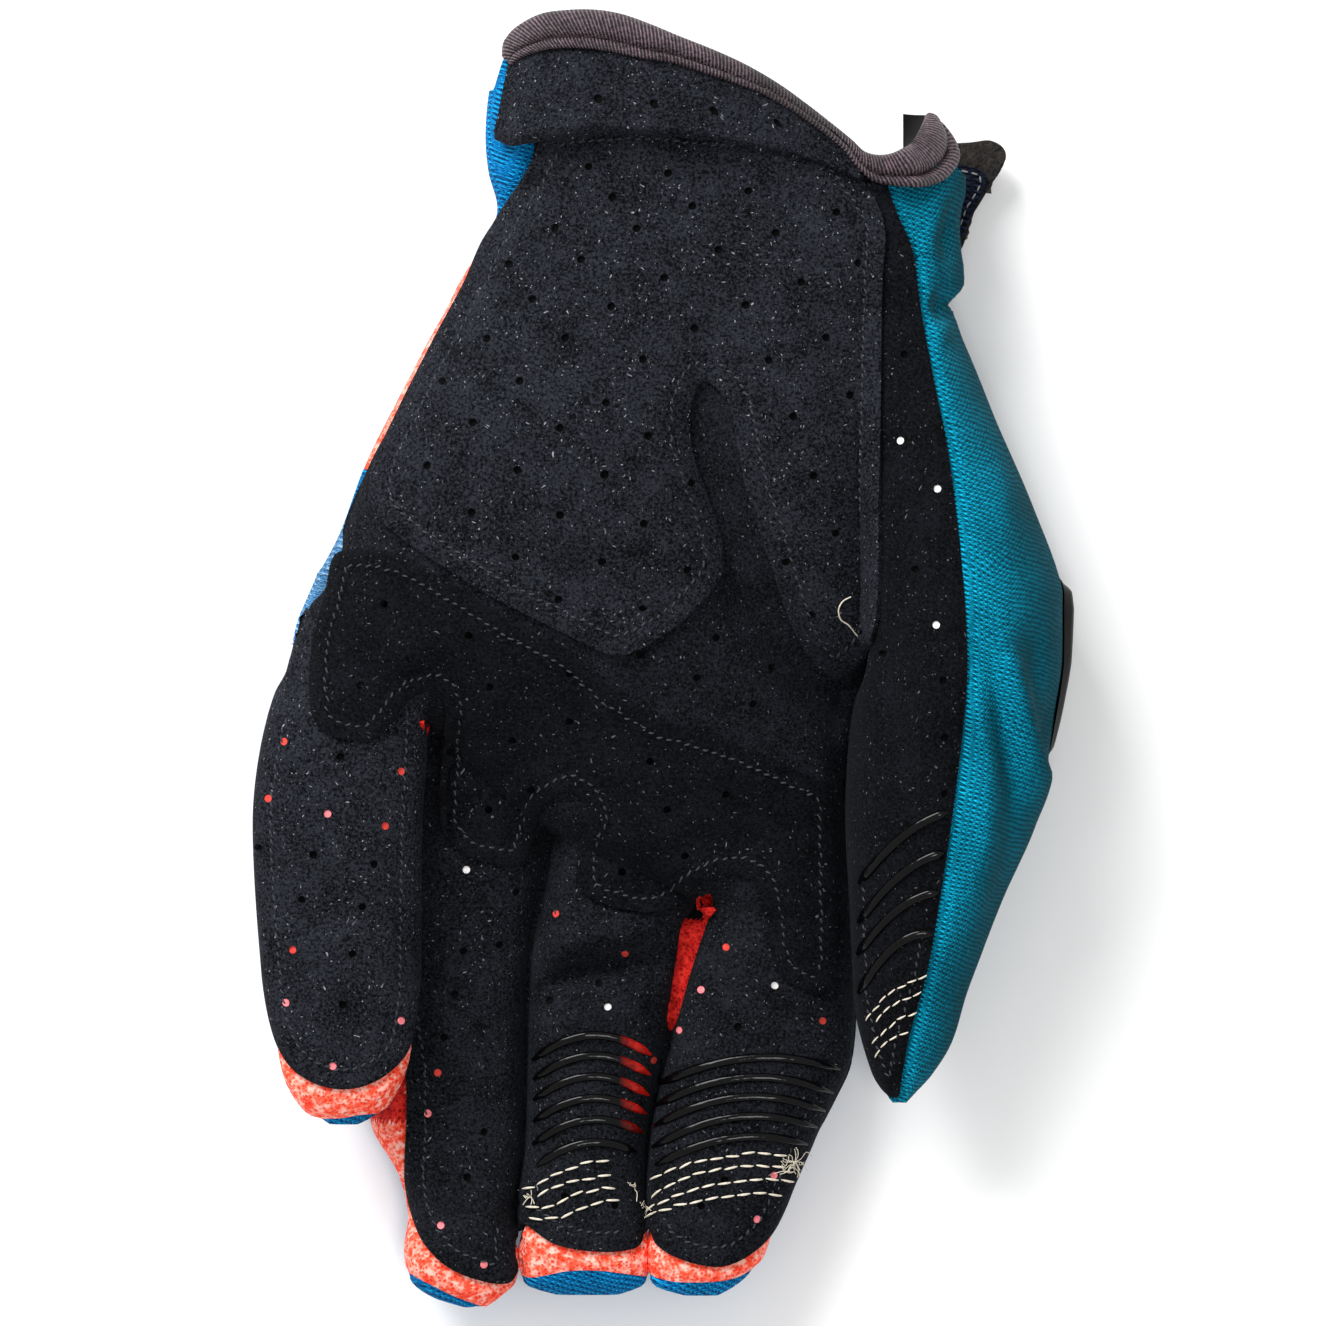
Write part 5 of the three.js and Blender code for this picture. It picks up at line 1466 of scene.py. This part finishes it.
# each tuft's middle x, y, how far it reaches, and how many threads it has
TUFTS = [
    (22.6, -85.6, 3.4, 16), (21.5, -87.5, 2.2, 8), (-23, -91.8, 1.6, 8), (-4.8, -90, 1.4, 6),
    (-3, -93.4, 1.4, 6),
]
steps = np.linspace(0, 1, 4)[:, None]
for middle_x, middle_y, reach, count in TUFTS:
    for _ in range(count):
        turn = chance.uniform(0, 2 * math.pi)
        curl = chance.normal(0, 0.5, (4, 2)) * steps
        way = np.array([math.cos(turn), math.sin(turn)])
        flat = [middle_x, middle_y] + way * steps * reach * chance.uniform(0.4, 1)
        flat = flat + curl
        z = palm_height(flat[:, 0], flat[:, 1]) + 0.15 + steps[:, 0] * chance.uniform(0.1, 1.4)
        tufts.append(strand(np.column_stack([flat, z]), 0.07))
loose = np.array([
    [32, 11.1], [30.6, 10.3], [29.9, 8.9], [30.3, 7.2], [31.6, 6.3], [33.3, 4.3], [35.4, 2.6],
])
z = palm_height(*loose.T) + PATCH_TOP + 0.2
tufts.append(strand(np.column_stack([loose, z]), 0.12))
sew_in("thread_ends", *one_mesh(tufts), thread_white)

# ---------------------------------------------------------------------------------------------
# The cuff's binding: a ribbed elastic tape folded over the rim and stitched near its lower edge.
# At the thumb it turns up and curls inwards in a hook.

# Places along the tape: the rim x, y and the lower edge x, y, with their heights over the palm,
# or, where the last figure is 1, their heights over the table
BINDING = [
    [-27.2, 103.6, -25.8, 101.9, 0.6, 1.2, 0], [-26.7, 106.2, -24.3, 103.1, 0.6, 1.7, 0],
    [-24.8, 108.4, -21.9, 103.9, 0.7, 2.0, 0], [-21, 110.3, -19, 104.5, 0.8, 2.1, 0],
    [-16.8, 110.9, -15.6, 104.6, 0.8, 2.1, 0], [-11.6, 110.9, -11.6, 104.3, 0.8, 2.1, 0],
    [-7, 110.1, -7.7, 103.6, 0.8, 2.1, 0], [-2.2, 108.4, -3.6, 102.7, 0.7, 2.1, 0],
    [2.9, 106.3, 1.4, 101.9, 0.5, 2.1, 0], [8.4, 104.1, 6.8, 100.3, 0.3, 2.1, 0],
    [14, 101.5, 12.1, 98.5, 0, 2.1, 0], [19.1, 98.5, 17.6, 96.3, -0.4, 2.1, 0],
    [24.3, 94.7, 23.2, 93.1, -0.8, 2.1, 0], [28.9, 91.1, 27.9, 89.8, -0.8, 2.1, 0],
    [32, 88.7, 31, 87.1, -0.6, 2.1, 0], [34, 87, 33, 84.4, -0.2, 2.1, 0],
    [36.4, 86.3, 35.7, 82, 0.5, 2.0, 0], [38.8, 86.5, 39.3, 81.2, 0.6, 1.7, 0],
    [40.9, 87.4, 42.6, 81, 0.8, 1.4, 0], [42.2, 88.2, 45.6, 81.4, 25.7, 25.2, 1],
    [43.4, 89.6, 48.5, 83, 25, 22, 1], [44.1, 90.9, 50.4, 85.8, 24, 18.8, 1],
    [44.6, 92.1, 50.1, 88.2, 22.6, 17, 1], [45, 93.1, 47.9, 91.3, 21, 16.4, 1],
    [44.9, 93.5, 45.6, 93.1, 20, 17, 1],
]
TAPE_FACE = [
    (0.0, -0.5), (-0.03, 0.1), (0.0, 0.5), (0.07, 0.8), (0.17, 0.8), (0.24, 0.25), (0.29, -0.25),
    (0.34, 0.3), (0.43, 0.95), (0.58, 1.25), (0.75, 1.25), (0.88, 1.0), (0.97, 0.5), (1.02, 0),
    (1.0, -0.5), (0.9, -0.85), (0.6, -1.0), (0.3, -1.0),
]


def tape(rim, lower, profile):
    """A folded tape between a rim line and its lower edge: points, faces, and length along it."""
    middle = (rim + lower) / 2
    out = unit(np.cross(unit(np.gradient(middle, axis=0)), rim - lower))
    thick = np.clip(np.linalg.norm(rim - lower, axis=1) / 5.2, 0.5, 1)[:, None]
    points = np.stack([lower + (rim - lower) * e + out * thick * n for e, n in profile], axis=1)
    faces = strips(len(rim), len(profile), ends=True)[:, ::-1]
    run = length_along(middle)[:, None] + [e * 2.2 for e, _ in profile]
    return points.reshape(-1, 3), faces, run.ravel()


table = np.array(BINDING, float)
over = table[:, 6] == 0
rim_z = np.where(over, palm_height(table[:, 0], table[:, 1]) + table[:, 4], table[:, 4])
low_z = np.where(over, palm_height(table[:, 2], table[:, 3]) + table[:, 5], table[:, 5])
stations = np.column_stack([table[:, 0], table[:, 1], rim_z, table[:, 2], table[:, 3], low_z])
stations = smooth_line(stations, 0.9)
points, faces, run = tape(stations[:, :3], stations[:, 3:], TAPE_FACE)


def ribbed_elastic(name, ground, rib):
    """Woven elastic tape: fine ribs across it, slightly shiny on their crests, with painted shade
    where its narrow part leans back.
    """
    material, tree, place = begin_material(name)
    length = add(tree, "Attribute", attribute_name="run").outputs["Fac"]
    # the ribs are about 0.5 mm apart; they are drawn 0.65 mm apart
    turns = add(tree, "Math", {0: length, 1: 2 * math.pi / 0.00065}, operation="MULTIPLY")
    wave = add(tree, "Math", {0: turns}, operation="SINE")
    noise = add(tree, "TexNoise", {"Vector": place, "Scale": 1 / 0.0006,
                                   "Detail": 3.0, "Roughness": 0.7})
    level = add(tree, "Math", {0: noise, 1: 5.0, 2: wave}, operation="MULTIPLY_ADD")
    share = add(tree, "MapRange", {"Value": level, "From Min": 2.0, "From Max": 3.6})
    clouds = add(tree, "TexNoise", {"Vector": place, "Scale": 1 / 0.005, "Detail": 3.0})
    tone = add(tree, "MapRange", {"Value": clouds, "From Min": 0.3, "From Max": 0.7,
                                  "To Min": 0.5, "To Max": 1.2})
    share = add(tree, "Math", {0: share, 1: tone}, operation="MULTIPLY")
    # painted shade: the narrow part of the rim leans back, and its ribs are painted darker there
    narrow = add(tree, "MapRange", {"Value": length, "From Min": 0.04, "From Max": 0.05,
                                    "To Min": 0.9, "To Max": 0.4})
    wide = add(tree, "MapRange", {"Value": length, "From Min": 0.062, "From Max": 0.07,
                                  "To Max": 0.55})
    whole = add(tree, "Math", {0: narrow, 1: wide}, operation="ADD")
    share = add(tree, "Math", {0: share, 1: whole}, operation="MULTIPLY")
    colour = add(tree, "Mix", {0: share, 6: linear(ground), 7: linear(rib)},
                 data_type="RGBA").outputs[2]
    bump = add(tree, "Bump", {"Strength": 0.7, "Distance": 0.0002, "Height": level})
    return finish_material(material, {
        "Base Color": colour, "Roughness": 0.5, "Specular IOR Level": 0.4, "Normal": bump,
    })


elastic = ribbed_elastic("woven_elastic_plum", "#030202", "#7c646f")
binding = sew_in("cuff_tape", points, faces, elastic, replaces=["cuff_binding"], slot="binding")
binding.data.attributes.new("run", "FLOAT", "POINT").data.foreach_set("value", run * MM)

groove = points.reshape(len(stations), len(TAPE_FACE), 3)[:, 6]


def groove_height(x, y):
    """The height of the groove's nearest place."""
    apart = (x[:, None] - groove[:, 0]) ** 2 + (y[:, None] - groove[:, 1]) ** 2
    return groove[apart.argmin(axis=1), 2]


thread_plum = plain("spun_thread_plum", "#2a2024", 0.65)
stitches = stitched([groove[:, :2]], groove_height, 0.3, 2.0, 2.3, 0.24, 77)
sew_in("tape_stitches", *stitches, thread_plum)

# inside the hook the tape's other leg drops to the back of the cuff; it is drawn in a near-black
# copy of the elastic, as painted shade
hook = stations[(stations[:, 0] > 40.2) & (stations[:, 1] > 86), :3]
share = np.linspace(0, 1, len(hook))
inside = np.column_stack([np.full(len(hook), 41.2), 87 + share * 7.1, 13 - share])
rows = [hook * (1 - t) + inside * t - [0, 0, 6 * t * (1 - t)] for t in np.linspace(0, 1, 8)]
rows[0] = rows[0] - [0, 0, 0.4]
points = np.stack(rows, axis=1).reshape(-1, 3)
faces = strips(len(hook), len(rows), closed=False)
if normals_of(points, faces)[:, 2].mean() < 0:
    faces = faces[:, ::-1]
elastic_painted_shade = plain("woven_elastic_painted_shade", "#060405", 0.95)
sew_in("cuff_hook_inside", *thicken(points, faces, 0.8), elastic_painted_shade, slot="binding")

# ---------------------------------------------------------------------------------------------
# The wrist's closure: a strap faced with brushed loop cloth under the back of the wrist. Its end
# comes out beside the cuff, with a dark knitted layer sewn on it.

STRAP_OUTLINE = [
    [-12, 73], [8, 72], [30, 71.6], [46, 71.4], [51, 71], [52.3, 73.8], [53.3, 76.9], [55, 79.8],
    [56.8, 82.7], [58.5, 85.5], [59, 87.2], [58.6, 88.4], [57.6, 89.3], [55.9, 89.9], [53.3, 89.6],
    [49.4, 89.2], [46.5, 87], [43, 84], [36, 82.4], [20, 82], [4, 81.6], [-12, 81],
]
STRAP_LAYER = [
    [48, 84.6], [51.5, 85.6], [54.4, 84.9], [55.9, 84], [56, 82.4], [55, 80.2], [53.6, 77.4],
    [52.6, 74.6], [51.4, 72.6], [49.6, 73.4], [48.4, 78],
]


# The height of the strap's face, by x: its end rises off the table
STRAP_RISE = ([-12, 40, 46, 51.2, 53.3, 55.5, 57.5, 59.1], [2, 2, 2.4, 3.6, 4.6, 5.3, 6.2, 6.8])


def strap_height(x, y):
    return np.interp(x, *STRAP_RISE)


def brushed_loop(name, ground, tip):
    """Brushed loop cloth: a deep tangled pile, browner where it catches the light."""
    material, tree, place = begin_material(name)
    pile = add(tree, "TexNoise", {"Vector": place, "Scale": 1 / 0.0009, "Detail": 5.0,
                                  "Roughness": 0.75, "Distortion": 1.2})
    shade = add(tree, "ValToRGB", {"Fac": pile}, stops=[(0.4, ground), (0.72, tip)])
    bump = add(tree, "Bump", {"Strength": 1.0, "Distance": 0.0006, "Height": pile})
    return finish_material(material, {
        "Base Color": shade, "Roughness": 0.95, "Sheen Weight": 0.08, "Specular IOR Level": 0.15,
        "Normal": bump,
    })


loop_cloth = brushed_loop("brushed_loop_cloth", "#0b0a0a", "#3f3934")
flat, faces, edge, _ = cut_flat(STRAP_OUTLINE, step=0.9)
rough = np.random.default_rng(3).normal(0, 0.06, len(flat))
face = lay(flat, strap_height, rough - 0.25 * np.exp(-edge / 0.3))
points, faces = thicken(face, faces, 1.85)
sew_in("wrist_strap", points, faces, loop_cloth, replaces=["closure_strap"], slot="hook_loop")
navy = knitted("warp_knit_navy", "#1a2030", "#0e1119", "#2c3850", 0.0011, 0.0013)
flat, faces, edge, layer_edge = cut_flat(STRAP_LAYER, step=0.7)
face = lay(flat, strap_height, sewn_lift(edge, 1.3, 1.2))
points, faces = thicken(face, faces, 1.0)
sew_in("strap_layer", points, faces, navy, slot="knit_blue")
pale_thread = plain("spun_thread_grey", "#8f8d8c", 0.8)
runs = offset_runs(layer_edge, 1.0, lambda x, y: x < 51.5)
sew_in("strap_stitches", *stitched(runs, strap_height, 1.1, 1.2, 1.6, 0.16, 21), pale_thread)

# ---------------------------------------------------------------------------------------------
# The rubber pad on the knuckle side of the thumb's base: a thin moulded plate with a rounded rim,
# sewn to the teal knit.

PAD_OUTLINE = [
    [13.4, 9], [13.6, 13], [13, 17.4], [10, 19.4], [4, 20], [-4, 19.6], [-10, 18.6], [-15, 16.6],
    [-16.2, 14], [-15.2, 10], [-11, 7.4], [-4, 6.6], [4, 6.4], [10, 6.8],
]


def thumb_side(y, z):
    """The thumb form's outer side at a place along it and a height."""
    middle, half, waist, rise, fall = section("thumb", y)
    v = np.where(z > waist, (z - waist) / rise, (waist - z) / fall)
    return middle + half * (1 - np.minimum(abs(v), 1) ** 2.3) ** (1 / 2.3)


# How far the pad's face stands off the knit, by its place along the thumb
PAD_LIFT = ([-16.2, -14.5, -10, -5, 2, 9, 12, 13.6], [0.9, 1.2, 1.4, 1.5, 1.8, 2.1, 1.8, 1.1])
flat, faces, edge, _ = cut_flat(PAD_OUTLINE, step=0.8)
lift = np.interp(flat[:, 0], *PAD_LIFT)
lift = lift - 0.6 * np.exp(-edge / 0.55) - 0.3 * np.exp(-(((edge - 2.2) / 0.6) ** 2))
face = np.column_stack([thumb_side(flat[:, 0], flat[:, 1]) + lift, flat])
points, faces = thicken(face, faces[:, ::-1], 1.0)
inner = points[len(flat):]
inner[:, 0] = thumb_side(inner[:, 1], inner[:, 2]) + 0.25
rubber, tree, place = begin_material("moulded_rubber_black")
grain = add(tree, "TexNoise", {"Vector": place, "Scale": 1 / 0.0009, "Detail": 3.0})
tone = add(tree, "Mix", {0: grain, 6: linear("#060607"), 7: linear("#111113")},
           data_type="RGBA").outputs[2]
bump = add(tree, "Bump", {"Strength": 0.35, "Distance": 0.00012, "Height": grain})
finish_material(rubber, {
    "Base Color": tone, "Roughness": 0.55, "Specular IOR Level": 0.25, "Normal": bump,
})
sew_in("thumb_pad", points, faces, rubber, replaces=["rubber_badge"], slot="rubber")

# ---------------------------------------------------------------------------------------------
# The setting: a plain white floor, soft studio light from above, and the camera straight over the
# glove at the photograph's scale.

CAMERA_LENS = 300
CAMERA_SENSOR = 36
CAMERA_FRAME = 1326 / 5.85 * MM
GLOVE_HEIGHT = 0.02
FLOOR_REACH = 3
FLOOR_LEVEL = -0.0004

floor_mesh = bpy.data.meshes.new("floor")
corners = [(x * FLOOR_REACH, y * FLOOR_REACH, FLOOR_LEVEL)
           for x, y in ((-1, -1), (1, -1), (1, 1), (-1, 1))]
floor_mesh.from_pydata(corners, [], [(0, 1, 2, 3)])
paper = begin_material("white_paper_floor")[0]
finish_material(paper, {"Base Color": linear("#fefefe"), "Roughness": 0.9})
floor_mesh.materials.append(paper)
floor = bpy.data.objects.new("floor", floor_mesh)
bpy.context.scene.collection.objects.link(floor)

world = bpy.data.worlds.new("studio")
bpy.context.scene.world = world
world.use_nodes = True
sky = world.node_tree.nodes["Background"].inputs
sky["Color"].default_value, sky["Strength"].default_value = (1, 1, 1, 1), 0.64

for name, spot, size, power in (
    ("key_light", (-0.6, 0.9, 0.8), 0.75, 24.0),
    ("top_light", (0.12, -0.2, 1.2), 0.3, 3.0),
):
    light = bpy.data.lights.new(name, "AREA")
    light.size, light.energy = size, power
    lamp = bpy.data.objects.new(name, light)
    lamp.location = spot
    lamp.rotation_euler = (-Vector(spot)).to_track_quat("-Z", "Y").to_euler()
    bpy.context.scene.collection.objects.link(lamp)

camera_data = bpy.data.cameras.new("camera")
camera_data.lens, camera_data.sensor_width = CAMERA_LENS, CAMERA_SENSOR
camera = bpy.data.objects.new("camera", camera_data)
camera_height = GLOVE_HEIGHT + CAMERA_FRAME * CAMERA_LENS / CAMERA_SENSOR
camera.location = (0, -0.17 * MM, camera_height)
bpy.context.scene.collection.objects.link(camera)
bpy.context.scene.camera = camera
bpy.context.scene.view_settings.view_transform = "Standard"
